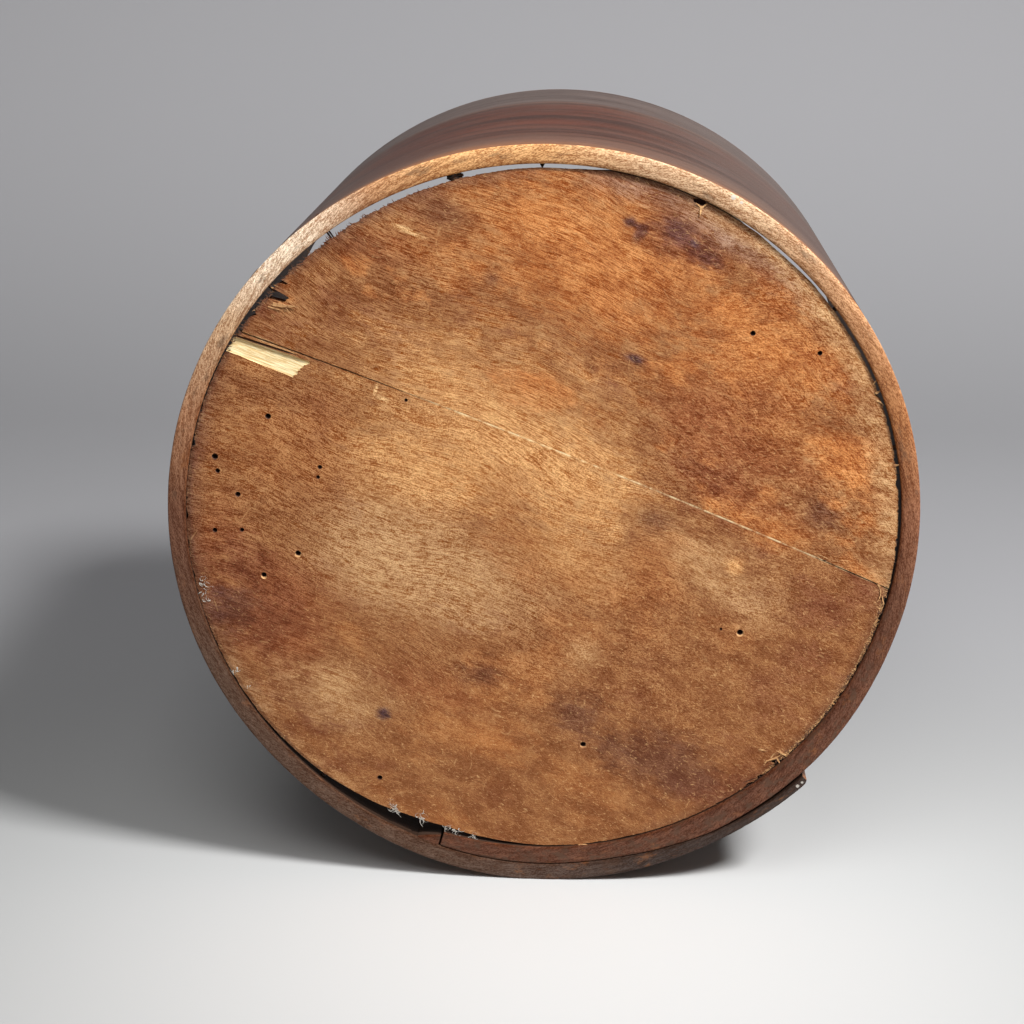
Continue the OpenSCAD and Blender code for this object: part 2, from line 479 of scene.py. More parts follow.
def spread(value, low, high, to_low=0.0, to_high=1.0):
    """A value moved smoothly from one range to another and held inside it."""
    return add(
        tree_of(value), "MapRange", {0: value, 1: low, 2: high, 3: to_low, 4: to_high},
        interpolation_type="SMOOTHSTEP").outputs[0]


def blend(share, a, b, kind="MIX"):
    """Mix of two colours."""
    mixed = add(tree_of(share, a, b), "Mix", {0: share}, data_type="RGBA", blend_type=kind)
    for index, tone in ((6, a), (7, b)):
        connect(mixed, {index: tone if is_socket(tone) else (*tone, 1)})
    return mixed.outputs[2]


def lay(base, *coats):
    """Lays coats over a colour in turn.

    A coat is a tone, a value, the two levels of the value between which the coat comes in, and its
    strength where that is less than 1.
    """
    for tone, value, low, high, *strength in coats:
        base = blend(spread(value, low, high, 0.0, *strength), base, tone)
    return base


def tinted(tone, factors):
    """A colour with its red, green and blue multiplied."""
    return blend(1.0, tone, factors, "MULTIPLY")


def emboss(shader, height, strength, distance):
    """Lets a height show as relief."""
    inputs = {"Height": height, "Strength": strength, "Distance": distance}
    connect(shader, {"Normal": add(tree_of(height), "Bump", inputs).outputs[0]})


def grain_noise(place, grain, detail=3.0, rough=0.55, shift=(0, 0, 0), turn=(0, 0, 0)):
    """Noise whose grains have a size on each axis, in millimetres, and may lie turned."""
    tree = tree_of(place)
    mapped = add(
        tree, "Mapping",
        {"Vector": place, "Scale": tuple(size * MM for size in grain), "Location": shift, "Rotation": turn},
        vector_type="TEXTURE")
    return add(
        tree, "TexNoise", {"Vector": mapped.outputs[0], "Scale": 1.0, "Detail": detail, "Roughness": rough}
    ).outputs["Fac"]


def ramp(value, stops):
    """Colour ramp over a value from 0 to 1."""
    item = add(tree_of(value), "ValToRGB", {"Fac": value})
    marks = item.color_ramp.elements
    while len(marks) < len(stops):
        marks.new(0.5)
    for mark, (place, tone) in zip(marks, stops):
        mark.position = place
        mark.color = (*tone, 1)
    return item.outputs["Color"]


def sector(aim, degrees, outer, inner):
    """1 in one direction from the middle, falling to 0 between two angles to either side of it."""
    turned = math.radians(degrees)
    facing = vectors("DOT_PRODUCT", aim, (math.cos(turned), 0, math.sin(turned)))
    return spread(facing, math.cos(math.radians(outer)), math.cos(math.radians(inner)))


# Soft stains on the base, a few of them painted shade or light: along, across, half length, half width,
# tone, strength
STAINS = (
    # The two broad brown patches at the lower right are painted shade: the base is darker there, away from
    # the light
    (75, -35, 75, 50, "base_brown", 0.55),
    (30, -120, 75, 30, "base_brown", 0.60),
    (-120, -40, 34, 46, "base_brown", 0.80),
    (-122, 22, 30, 28, "base_brown", 0.60),
    (-25, 118, 75, 40, "base_amber", 0.90),
    (60, 108, 40, 26, "base_amber", 0.90),
    (70, 76, 46, 22, "base_amber", 0.50),
    (96, 38, 18, 10, "base_amber", 0.80),
    (17, -103, 22, 10, "base_amber", 0.50),
    (-83, 94, 30, 12, "base_amber", 0.35),
    # The broad gold patch near the middle is the wood's pale tone and, in part, a painted pool of light
    (-35, 30, 72, 46, "base_gold", 0.90),
    (5, 24, 38, 22, "base_gold", 0.85),
    (-62, -2, 38, 20, "base_gold", 0.80),
    (20, -8, 34, 22, "base_gold", 0.60),
    (-54, -40, 46, 32, "base_tan", 0.95),
    (-17, -32, 44, 24, "base_tan", 0.80),
    (-57, -106, 34, 18, "base_tan", 0.75),
    (66, 12, 30, 16, "base_tan", 0.70),
    (94, 4, 22, 18, "base_tan", 0.50),
    (38, -47, 12, 10, "base_tan", 0.60),
    (85, 16, 6, 5, "base_gold", 0.85),
    (71, 47, 34, 14, "base_red", 0.90),
    (54, 62, 30, 20, "base_red", 0.85),
    (62, 88, 24, 14, "base_red", 0.60),
    (42, 78, 22, 18, "base_red", 0.60),
    (92, 66, 18, 10, "base_red", 0.60),
    (-100, -82, 44, 30, "base_red", 0.90),
    (-131, -57, 16, 26, "base_red", 0.70),
    (-105, 13, 16, 13, "base_red", 0.45),
    (-114, -12, 34, 26, "base_fawn", 0.80),
    (-109, 86, 20, 9, "base_red", 0.50),
    (-12, -90, 36, 12, "base_red", 0.65),
    (-96, -90, 30, 20, "base_deep", 0.80),
    (-117, -70, 20, 18, "base_deep", 0.75),
    (-78, -93, 14, 11, "base_red", 0.70),
    (-112, -88, 13, 16, "base_dark", 0.75),
    (-121, -92, 10, 12, "purple_stain", 0.40),
    (62, 44, 12, 6, "base_deep", 0.45),
    (56, 52, 20, 9, "base_deep", 0.60),
    (12, 137, 26, 14, "base_deep", 0.92),
    (6, 141, 11, 7, "purple_stain", 0.62),
    (20, 134, 10, 5, "purple_stain", 0.55),
    (13, 138.5, 3, 2, "purple_stain", 0.80),
    (-15, 137, 3.2, 3, "purple_stain", 0.80),
    (-10, 133, 3, 6, "purple_stain", 0.60),
    (28, 145, 22, 8, "base_grey", 0.75),
    (-59, 93, 5, 5, "base_dark", 0.65),
    (3, -74, 14, 10, "base_dark", 0.70),
    (-32, -109, 4.2, 3.6, "purple_stain", 0.95),
    (48, -76, 15, 12, "base_dark", 0.70),
    (92, -82, 32, 18, "base_dark", 0.75),
    (72, -88, 14, 9, "base_dark", 0.50),
    (45, 21, 11, 7, "base_dark", 0.60),
    (10, 84, 7, 2.6, "purple_stain", 0.90),
    (110, 52, 11, 10, "base_dark", 0.75),
    (-89, 111, 17, 9, "base_dark", 0.60),
    (-118, 84, 14, 6, "base_dark", 0.45),
    (-98, 98.5, 9, 1.6, "base_fibre", 0.65),
    (-88, 30, 1.2, 4.5, "base_fibre", 0.85),
    (-84, 27, 3.4, 1.2, "base_fibre", 0.85),
    (-62, 29.6, 2.2, 1.6, "base_fibre", 0.85),
    # The thin pale line along the rib above the torn strip is a painted highlight
    (-141, 31.4, 17, 0.8, "base_fibre", 0.45),
)
# Margins of the base: direction, half spread, width, tone, strength. The tan and grey ones are worn, the
# wider dark ones make the edge darker, and the thin dark ones are painted shade under the rim
MARGINS = (
    (22, 42, 13, "base_tan", 0.75),
    (62, 26, 12, "base_grey", 0.80),
    (50, 20, 7, "base_tan", 0.65),
    (116, 34, 8, "base_dark", 0.55),
    (128, 30, 3.5, "base_dark", 0.80),
    (172, 34, 3, "base_dark", 0.60),
    (186, 44, 9, "base_dark", 0.50),
    (222, 26, 8, "base_tan", 0.35),
    # Thin dark lines along the edge: painted shade, where the rim shades the base
    (92, 46, 1.5, "base_pore_and_shade", 0.85),
    (160, 60, 1.4, "base_pore_and_shade", 0.75),
    (236, 40, 1.5, "base_pore_and_shade", 0.75),
    (20, 40, 1.2, "base_pore_and_shade", 0.60),
    (318, 44, 7, "base_dark", 0.45),
)
# Where the edge of the base is crumbled: direction, half spread, and over what angle that fades out
CRUMBLED = (331, 24, 6)
# Middle of the part of the base that is worn pale and plain: along, across
WORN_PLAIN = (-38, -6)
# How much of the nap is matted fibre, dust, speckle, flecks and mottle
UPPER_NAP = (0.40, 0.22, 0.11, 0.15, 0.12)
LOWER_NAP = (0.34, 0.30, 0.12, 0.11, 0.13)


def base_layers(tree, seed, upper):
    """Places on a base board, and the noises that its grain is made of."""
    centred = vectors("SUBTRACT", object_place(tree), (0, 0, MIDDLE_Z))
    grained = add(tree, "Mapping", {"Vector": centred, "Rotation": (0, sizes().grain, 0)}).outputs[0]
    drift = add(tree, "TexNoise", {"Vector": grained, "Scale": 14.0, "Detail": 1.0}).outputs["Fac"]
    drift = add(tree, "CombineXYZ", {"Z": swing(drift, 22 * MM)}).outputs[0]
    flowing = vectors("ADD", grained, drift)
    place = add(tree, "SeparateXYZ", {0: grained}).outputs
    flat = vectors("MULTIPLY", centred, (1, 0, 1))
    shift = (seed * 0.31, seed * 0.17, seed * 0.53)
    return SimpleNamespace(
        grained=grained, along=place["X"], across=place["Z"],
        lower_right=minus(place["X"], place["Z"]),
        from_middle=vectors("LENGTH", flat), aim=vectors("NORMALIZE", flat),
        patch=grain_noise(grained, (46, 40, 30), 5.0, 0.6, shift),
        mottle=grain_noise(grained, (9, 8, 6), 4.0, 0.65, shift),
        streak=grain_noise(flowing, (22, 12, 1.5), 3.0, 0.6, shift),
        thread=grain_noise(flowing, (6.4 if upper else 4.6, 6.0, 0.42), 3.0, 0.6, shift),
        leaning=grain_noise(flowing, (2.6, 4.0, 0.40), 1.0, 0.5, shift, (0, 0.42, 0)),
        falling=grain_noise(flowing, (2.6, 4.0, 0.40), 1.0, 0.5, shift, (0, -0.38, 0)),
        dust=grain_noise(grained, (0.50, 1.0, 0.36), 1.0, 0.7, shift),
        speckle=grain_noise(flowing, (2.2, 1.5, 0.8), 3.0, 0.7, shift),
        scratch=grain_noise(grained, (40, 40, 30), 1.0, 0.5, (seed, 4.0, seed), (0, 0.9, 0)),
        cloud=grain_noise(flowing, (13, 10, 7), 4.0, 0.62, (seed, 1.7, 0.4)),
        zone=grain_noise(grained, (30, 30, 20), 3.0, 0.6, (0, seed, 0)),
        curl=grain_noise(grained, (5.5, 5.0, 3.6), 1.0, 0.5, (2.0, seed, 1.0)),
        dashed=grain_noise(place["X"], (11, 11, 11), 3.0, 0.65))


def stained_base(wood, layer):
    """Soft stains and margins, some of them painted shade or light, their outlines broken by the grain."""
    tone = colours()
    rim = sizes().base_radius
    broken = plus(swing(layer.patch, 1.7), swing(layer.mottle, 1.5))
    broken = plus(broken, swing(layer.streak, 0.8))
    for along, across, half_length, half_width, kind, strength in STAINS:
        offset = vectors("SUBTRACT", layer.grained, (along * MM, 0, across * MM))
        scaled = vectors("MULTIPLY", offset, (1 / (half_length * MM), 0, 1 / (half_width * MM)))
        away = plus(vectors("LENGTH", scaled), broken)
        wood = lay(wood, (getattr(tone, kind), away, 1.25, 0.15, strength))
    for degrees, half_spread, width, kind, strength in MARGINS:
        side = sector(layer.aim, degrees, half_spread, half_spread / 3)
        rubbed = plus(layer.from_middle, times(broken, width * 0.4 * MM))
        near = spread(rubbed, rim - width * MM, rim - width * 0.25 * MM, 0.0, strength)
        wood = blend(times(side, near), wood, getattr(tone, kind))
    return wood


def clouded_base(wood, layer):
    """Clouds of lighter and darker wood, weaker where the base is worn plain."""
    along, across = WORN_PLAIN
    from_worn = vectors("DISTANCE", layer.grained, (along * MM, BASE_LO.y, across * MM))
    strength = spread(from_worn, 50 * MM, 110 * MM, 0.35, 0.95)
    cloud = swing(spread(layer.cloud, 0.36, 0.62), strength)
    bright = tinted(wood, (1.16, 1.22, 1.20))
    dull = tinted(wood, (0.80, 0.71, 0.64))
    return blend(plus(cloud, 0.5), dull, bright)


def base_nap(layer, upper):
    """Height of the fine, matted fibre on the base, about 0.5: felted towards the right."""
    if upper:
        felted = spread(layer.along, -10 * MM, 70 * MM)
    else:
        felted = spread(layer.lower_right, 30 * MM, 130 * MM)
    felted = times(felted, 0.65)
    woven = minus(plus(layer.leaning, layer.falling), 1.0)
    woven = plus(times(woven, 0.75), 0.5)
    matted = toward(layer.thread, woven, felted)
    flecked = toward(layer.streak, layer.dust, felted)
    shares = UPPER_NAP if upper else LOWER_NAP
    nap = times(matted, shares[0])
    for part, share in zip((layer.dust, layer.speckle, flecked, layer.mottle), shares[1:]):
        nap = plus(nap, times(part, share))
    strength = spread(layer.along, -55 * MM, -110 * MM, 1.0, 1.3)
    return plus(swing(nap, strength), 0.5)


def fibrous_base(wood, layer, nap):
    """Pale and dark of the nap, then its loose fibres, pores, scratches and curls."""
    tone = colours()
    lighter = tinted(wood, (1.60, 1.92, 2.30))
    darker = tinted(wood, (0.55, 0.28, 0.05))
    napped = lay(darker, (lighter, nap, 0.41, 0.59))
    zone = spread(layer.zone, 0.34, 0.60, 0.8, 1.0)
    zone = times(zone, spread(layer.across, -110 * MM, -40 * MM, 0.66, 1.0))
    zone = times(zone, spread(layer.lower_right, 60 * MM, 160 * MM, 1.0, 0.70))
    wood = blend(zone, wood, napped)
    fibres = spread(layer.leaning, 0.66, 0.80)
    fibres = maths("MAXIMUM", fibres, spread(layer.falling, 0.66, 0.80))
    fibres = maths("MAXIMUM", fibres, spread(layer.thread, 0.68, 0.80))
    wood = blend(times(fibres, 0.45), wood, tone.base_fibre)
    pores = times(spread(layer.thread, 0.42, 0.28), spread(layer.mottle, 0.56, 0.40))
    wood = blend(times(pores, 0.40), wood, tone.base_pore_and_shade)
    scratches = spread(apart(layer.scratch, 0.5), 0.004, 0.001)
    scratches = times(scratches, spread(layer.mottle, 0.50, 0.62, 0.0, 0.28))
    wood = blend(scratches, wood, tone.base_fibre)
    curls = spread(apart(layer.curl, 0.5), 0.026, 0.008)
    curls = times(curls, spread(layer.speckle, 0.50, 0.62))
    curls = times(curls, spread(layer.lower_right, -80 * MM, 80 * MM, 0.20, 0.52))
    return blend(curls, wood, tone.base_fibre)


def crumbled_base(wood, layer):
    """Crumbs of pale fibre and dark gaps, along one part of the edge."""
    tone = colours()
    rim = sizes().base_radius
    degrees, half_spread, soft = CRUMBLED
    broken = plus(layer.from_middle, swing(layer.speckle, 4 * MM))
    near = spread(broken, rim - 2.8 * MM, rim - 1.8 * MM, 0.0, 0.75)
    crumbs = times(near, sector(layer.aim, degrees, half_spread, half_spread - soft))
    return blend(crumbs, wood, lay(tone.base_pore_and_shade, (tone.base_fibre, layer.dust, 0.48, 0.62)))


def worn_joint(wood, layer, upper):
    """Pale line along the joint where it is tight, bare wood with a painted highlight on its edge, and dirt
    where it stands open.
    """
    tone = colours()
    bow = maths("POWER", minus(layer.along, BOW_MIDDLE * MM), 2.0)
    bow = minus(BOW_TOP * MM, times(bow, BOW_FALL / MM))
    beside = spread(apart(layer.across, bow), 0.50 * MM, 0.22 * MM)
    tight = spread(layer.along, -85 * MM, -45 * MM)
    # Painted highlight, over bare wood: a pale line where the edge of the tight joint catches the light
    bare = times(times(beside, spread(layer.dashed, 0.42, 0.60, 0.05, 0.85)), tight)
    if not upper:
        dirt = times(beside, spread(layer.dashed, 0.56, 0.40, 0.10, 0.75))
        dirt = times(dirt, spread(tight, 0, 1, 1.0, 0.15))
        wood = blend(dirt, wood, tone.base_pore_and_shade)
        bare = times(bare, 0.5)
    return blend(bare, wood, tone.raw_wood)


def base_wood(name, seed, upper):
    """Old, worn plank of the base: fine matted grain over blotched orange-brown wood."""
    tone = colours()
    material, tree, shader = new_material(name)
    layer = base_layers(tree, seed, upper)
    palest = tone.base_amber if upper else tone.base_fawn
    wood = ramp(spread(layer.patch, 0.30, 0.70), (
        (0.0, tone.base_deep), (0.35, tone.base_brown), (0.70, tone.base_brown), (1.0, palest)))
    wood = clouded_base(stained_base(wood, layer), layer)
    nap = base_nap(layer, upper)
    wood = crumbled_base(fibrous_base(wood, layer, nap), layer)
    connect(shader, {
        "Base Color": worn_joint(wood, layer, upper),
        "Roughness": spread(layer.dust, 0.3, 0.7, 0.62, 0.86),
        "Specular IOR Level": 0.12,
    })
    emboss(shader, plus(nap, times(layer.mottle, 0.4)), 0.5, 1 * MM)
    return material


def raw_wood():
    """Pale wood where a splinter has torn away."""
    tone = colours()
    material, tree, shader = new_material("raw_wood")
    here = object_place(tree)
    grained = add(tree, "Mapping", {"Vector": here, "Rotation": (0, sizes().grain, 0)}).outputs[0]
    fibre = grain_noise(grained, (8, 4, 0.6), 3.0, 0.6)
    warm = tuple(a * b for a, b in zip(tone.raw_wood, (0.78, 0.62, 0.45)))
    wood = lay(warm, (tone.raw_wood, fibre, 0.35, 0.6))
    connect(shader, {"Base Color": wood, "Roughness": 0.8})
    emboss(shader, fibre, 0.5, 0.4 * MM)
    return material


def splinter_wood():
    """Splinters: tan, paler in places."""
    tone = colours()
    material, tree, shader = new_material("splinter_wood")
    patch = grain_noise(object_place(tree), (1.8, 1.8, 1.8), 3.0, 0.6)
    wood = lay(tone.splinter, (tone.base_fibre, patch, 0.52, 0.72), (tone.base_brown, patch, 0.48, 0.34))
    connect(shader, {"Base Color": wood, "Roughness": 0.85})
    return material


def edge_fibre():
    """Loose fibre at the torn edges, some of it pale and some dark."""
    tone = colours()
    material, tree, shader = new_material("edge_fibre")
    patch = grain_noise(object_place(tree), (7, 7, 7), 2.0)
    wood = lay(tone.base_pore_and_shade, (tone.splinter, patch, 0.48, 0.66))
    connect(shader, {"Base Color": wood, "Roughness": 0.85})
    return material


def lint():
    """White lint and cobweb."""
    tone = colours()
    material, tree, shader = new_material("lint")
    fluff = grain_noise(object_place(tree), (0.8, 0.8, 0.8), 3.0, 0.7)
    dull = tuple(value * 0.62 for value in tone.lint)
    connect(shader, {"Base Color": lay(dull, (tone.lint, fluff, 0.35, 0.6)), "Roughness": 0.95})
    return material


def bore_shade():
    """Painted shade: the near-black inside of a worm hole or crack."""
    tone = colours()
    material, tree, shader = new_material("bore_shade")
    dust = grain_noise(object_place(tree), (1.1, 1.1, 1.1), 2.0)
    # Painted shade, almost black, for the holes and cracks
    dark = tuple(value * 0.25 for value in tone.base_dark)
    connect(shader, {"Base Color": blend(dust, dark, tone.base_dark), "Roughness": 0.95})
    return material


# Tones of the rim: direction, counted on from the inner end of the wall board, and colour
RIM_TONES = (
    (254, "lap_brown"), (338, "lap_brown"), (350, "rim_brown"), (363, "rim_russet"),
    (379, "rim_orange"), (398, "rim_honey"), (416, "rim_cream"), (434, "rim_cream"),
    (449, "rim_gold"), (464, "rim_gold"), (476, "rim_honey"), (488, "rim_pale"), (496, "rim_pale"),
    (506, "rim_cream"), (522, "rim_umber"), (538, "rim_brown"), (565, "rim_dark"), (590, "rim_dark"),
    (614, "rim_dark"), (630, "lap_grey"), (648, "lap_dark"), (674, "lap_dark"),
)
# White specks on the rim: direction, distance from the middle, radius
WHITE_SPECKS = ((314.0, 167.2, 0.9), (314.9, 167.3, 0.7), (61.2, 163.6, 1.3), (59.8, 163.4, 0.8))
# Top of the wall, where its outside is reddest, counted on from the inner end of the wall board. The
# painted shade along the top and the painted sheen on the sides are measured from here
REDDEST = 456
# Height at which the grey band round the mouth starts
GREY_BAND = 175 * MM


def wall_layers(tree):
    """Places on the flat wall board, and the noises that its grain is made of."""
    board = add(tree, "Attribute", attribute_name="board").outputs["Vector"]
    run, height, depth = add(tree, "SeparateXYZ", {0: board}).outputs
    return SimpleNamespace(
        share=maths("DIVIDE", run, board_length()), height=height, depth=depth,
        band=grain_noise(board, (170, 20, 30), 5.0, 0.62),
        streak=grain_noise(board, (120, 2.8, 6), 6.0, 0.70, (1, 2, 3)),
        hair=grain_noise(board, (13, 0.7, 0.8), 4.0, 0.66),
        patch=grain_noise(board, (60, 40, 30), 4.0, 0.6),
        line=grain_noise(board, (90, 1.0, 3), 4.0, 0.62, (4, 1, 0)),
        vein=grain_noise(board, (120, 11, 12), 5.0, 0.66, (2, 5, 1)),
        fleck=grain_noise(board, (2.4, 0.9, 0.46), 3.0, 0.66, (0, 0, 0), (0, 0.30, 0)),
        coarse=grain_noise(board, (12, 3.0, 1.6), 4.0, 0.65, (5, 0, 0), (0, 0.12, 0)),
        chips=grain_noise(board, (6.0, 2.0, 0.55), 3.0, 0.65, (3, 0, 1), (0, -0.25, 0)),
        grit=grain_noise(board, (0.9, 0.5, 0.42), 2.0, 0.7, (2, 2, 2)),
        blotch=grain_noise(board, (16, 8, 7), 4.0, 0.7, (0, 7, 0)),
        spots=grain_noise(board, (7, 4, 3.5), 4.0, 0.7, (1, 3, 5)))


def wall_outside(layer):
    """Outside of the wall: streaked brown, grey round the mouth and dusty near the base, with a painted
    grey sheen on its sides and painted shade along its top.
    """
    tone = colours()
    streak, line, vein, hair = layer.streak, layer.line, layer.vein, layer.hair
    from_top = apart(layer.share, board_share(REDDEST))
    wood = lay(
        tone.wall_brown, (tone.wall_red, layer.band, 0.42, 0.66), (tone.wall_red, streak, 0.55, 0.72, 0.6))
    dusty = times(spread(layer.patch, 0.44, 0.66, 0.0, 0.6), spread(streak, 0.36, 0.60, 0.3, 1.0))
    wood = lay(
        blend(dusty, wood, tone.wall_grey),
        (tone.wall_dark, streak, 0.54, 0.32, 0.65), (tone.wall_dark, line, 0.46, 0.34, 0.7),
        (tone.wall_dust, line, 0.58, 0.72, 0.5), (tone.wall_dark, vein, 0.50, 0.38, 0.70),
        (tone.wall_dust, vein, 0.55, 0.68, 0.45))

    wavy = plus(layer.height, swing(layer.band, 40 * MM))
    weathered = lay(
        tone.wall_grey,
        (tone.wall_dark, streak, 0.54, 0.32, 0.6), (tone.wall_dark, line, 0.50, 0.34, 0.7),
        (tone.wall_dark, vein, 0.50, 0.38, 0.65), (tone.wall_ash_and_sheen, vein, 0.55, 0.68, 0.50))
    wood = lay(
        wood, (weathered, wavy, GREY_BAND - 12 * MM, GREY_BAND + 8 * MM, 0.85),
        (tone.rim_umber, apart(wavy, GREY_BAND), 2.4 * MM, 0.4 * MM, 0.3))
    # Painted sheen: away from the top, the sides turn grey-brown, as a satin surface looks where it
    # reflects at a grazing angle
    painted_sheen = times(spread(from_top, 0.040, 0.110), spread(streak, 0.34, 0.60, 0.12, 0.42))
    wood = blend(painted_sheen, wood, tone.wall_ash_and_sheen)
    # Painted shade: darker and redder along the top of the wall, where no sheen shows
    painted_dark_top = spread(from_top, 0.085, 0.030)
    painted_dark_top = times(painted_dark_top, spread(wavy, GREY_BAND + 10 * MM, GREY_BAND - 20 * MM))
    wood = blend(painted_dark_top, wood, tinted(wood, (0.84, 0.56, 0.46)))

    rubbed = plus(layer.height, times(layer.patch, 30 * MM))
    patchy = spread(streak, 0.36, 0.60, 0.35, 1.0)
    for dust, far, near in ((tone.wall_dust, 70 * MM, 30 * MM), (tone.rim_orange, 34 * MM, 14 * MM)):
        wood = blend(times(spread(rubbed, far, near, 0.0, 0.75), patchy), wood, dust)
    return lay(wood, (tone.wall_dark, hair, 0.46, 0.32, 0.65), (tone.rim_umber, hair, 0.58, 0.70, 0.32))


def wall_inside(layer):
    """Inside of the wall, with painted shade beside the base."""
    tone = colours()
    # Painted shade: darkest beside the base, where the base keeps the light out, and paler higher up
    wood = lay(tone.inside_shade_and_streaks, (tone.inside_brown, layer.height, 14 * MM, 40 * MM))
    wood = lay(tinted(wood, (0.55, 0.48, 0.42)), (wood, layer.streak, 0.36, 0.62))
    return lay(wood, (tone.inside_shade_and_streaks, layer.hair, 0.46, 0.32, 0.5))


def wall_rim(layer, nap):
    """Rim beside the base: worn to many tones, flecked and chipped, and lighter at its outer edge, from
    rubbing and a painted highlight.
    """
    tone = colours()
    stops = [(board_share(degrees), getattr(tone, kind)) for degrees, kind in RIM_TONES]
    wood = ramp(layer.share, stops)
    lighter = tinted(wood, (1.48, 1.66, 1.82))
    darker = tinted(wood, (0.58, 0.43, 0.33))
    wood = lay(darker, (lighter, nap, 0.42, 0.58), (tone.rim_brown, layer.chips, 0.41, 0.31, 0.80))
    flaked = tinted(wood, (1.9, 2.1, 2.3))
    wood = lay(
        wood, (flaked, layer.chips, 0.59, 0.70, 0.50),
        (tone.rim_dark, layer.blotch, 0.46, 0.32, 0.55), (tone.rim_orange, layer.blotch, 0.56, 0.72, 0.50))
    lapped = spread(layer.share, board_share(352), board_share(330))
    spot_tones = ((tone.rim_dark, 0.50, 0.40, 0.8), (tone.rim_russet, 0.56, 0.70, 0.55))
    for spot, low, high, strength in spot_tones:
        spotted = times(lapped, spread(layer.spots, low, high, 0.0, strength))
        wood = blend(spotted, wood, spot)
    across = plus(layer.depth, swing(layer.coarse, 9 * MM))
    wood = lay(tinted(wood, (0.74, 0.66, 0.60)), (wood, across, 0.4 * MM, 3.0 * MM))
    # Lighter toward the outer edge: rubbed wood, and a painted highlight where the rounded arris catches
    # the light
    polished_and_highlit = tinted(wood, (1.16, 1.20, 1.24))
    return lay(wood, (polished_and_highlit, across, 4.4 * MM, 7.0 * MM))


def wall_wood():
    """Wall board: dark, streaked and satin outside, with a rim that is worn pale at the top."""
    tone = colours()
    top = sizes().wall_height
    material, tree, shader = new_material("wall_wood")
    layer = wall_layers(tree)
    nap = plus(times(layer.fleck, 0.40), times(layer.coarse, 0.24))
    nap = plus(nap, times(layer.grit, 0.36))
    inner_face = spread(layer.depth, 1.2 * MM, 0.4 * MM)
    wood = blend(inner_face, wall_outside(layer), wall_inside(layer))
    ragged = plus(layer.height, times(layer.coarse, 0.7 * MM))
    rim = spread(ragged, 1.5 * MM, 0.9 * MM)
    wood = blend(rim, wood, wall_rim(layer, nap))
    here = object_place(tree)
    for degrees, radius, wide in WHITE_SPECKS:
        turned = math.radians(degrees)
        spot = (radius * math.cos(turned) * MM, WALL_LO.y, MIDDLE_Z + radius * math.sin(turned) * MM)
        away = plus(vectors("DISTANCE", here, spot), swing(layer.grit, 1.2 * MM))
        wood = lay(wood, (tone.lint, away, wide * MM, wide * 0.6 * MM, 0.9))
    bare = lay(tone.rim_brown, (tone.rim_umber, nap, 0.40, 0.60))
    connect(shader, {
        "Base Color": lay(wood, (bare, layer.height, top - 1.6 * MM, top - 0.8 * MM)),
        "Roughness": spread(rim, 0, 1, 0.50, 0.74),
        "Specular IOR Level": spread(inner_face, 0, 1, 0.14, 0.02),
    })
    relief = plus(layer.streak, times(layer.hair, 0.5))
    emboss(shader, plus(relief, times(layer.fleck, 0.4)), 0.4, 0.5 * MM)
    return material


def nail_iron():
    """Rusted iron of the nails."""
    tone = colours()
    material, tree, shader = new_material("nail_iron")
    scale = grain_noise(object_place(tree), (1.4, 1.4, 1.4), 4.0, 0.65)
    connect(shader, {
        "Base Color": lay(tone.iron, (tone.rust, scale, 0.42, 0.66)),
        "Roughness": spread(scale, 0.35, 0.65, 0.55, 0.9),
        "Metallic": 0.3,
    })
    emboss(shader, scale, 0.6, 0.4 * MM)
    return material


# The wall

# Heights in millimetres at which the board is cut across, closest near its two rims
RIM_CUTS = (2.2, 4.5, 8, 14, 24, 40, 65, 95, 125, 155, 172, 178, 190, 205, 220, 232, 240, 245, 247.8)
# Cuts through the thickness of the board, as shares of it
DEPTH_CUTS = (0.25, 0.5, 0.75)
# Cuts along the board: so many in its length, then so many in each part
LENGTH_CUTS = (99, 7)
# Wear of the rims: how far in it reaches, how deep it is, and how deep the nicks are
WEAR_REACH = 6 * MM
WEAR_DEPTH = 0.30 * MM
NICK_DEPTH = 0.35 * MM
# Feathered tip that has cracked off the inner end: where it starts and ends in degrees, then in
# millimetres its thickness there, how far it stays inside the rims, its gap to the outer layer, how
# far its end leans, and its length
TIP_START = 249.6
TIP_END = 253.25
TIP_FEATHER = 0.35
TIP_THICKNESS = 5.0
TIP_INSET = 0.3
TIP_GAP = 0.02
TIP_LEAN = 0.12
TIP_RUN = 12


def keep_flat_places(piece, run, height, depth):
    """Keeps where each corner lay on the flat board, for the grain to follow."""
    kept = piece.data.attributes.new("board", "FLOAT_VECTOR", "POINT")
    rows = np.column_stack((run, height, depth))
    kept.data.foreach_set("vector", np.ascontiguousarray(rows).ravel())


def rim_wear(run, depth, line, scale):
    """Random wear along a rim, with features of about one scale."""
    return np.array([speck(float(x), line, float(d) * scale, scale) for x, d in zip(run, depth)])


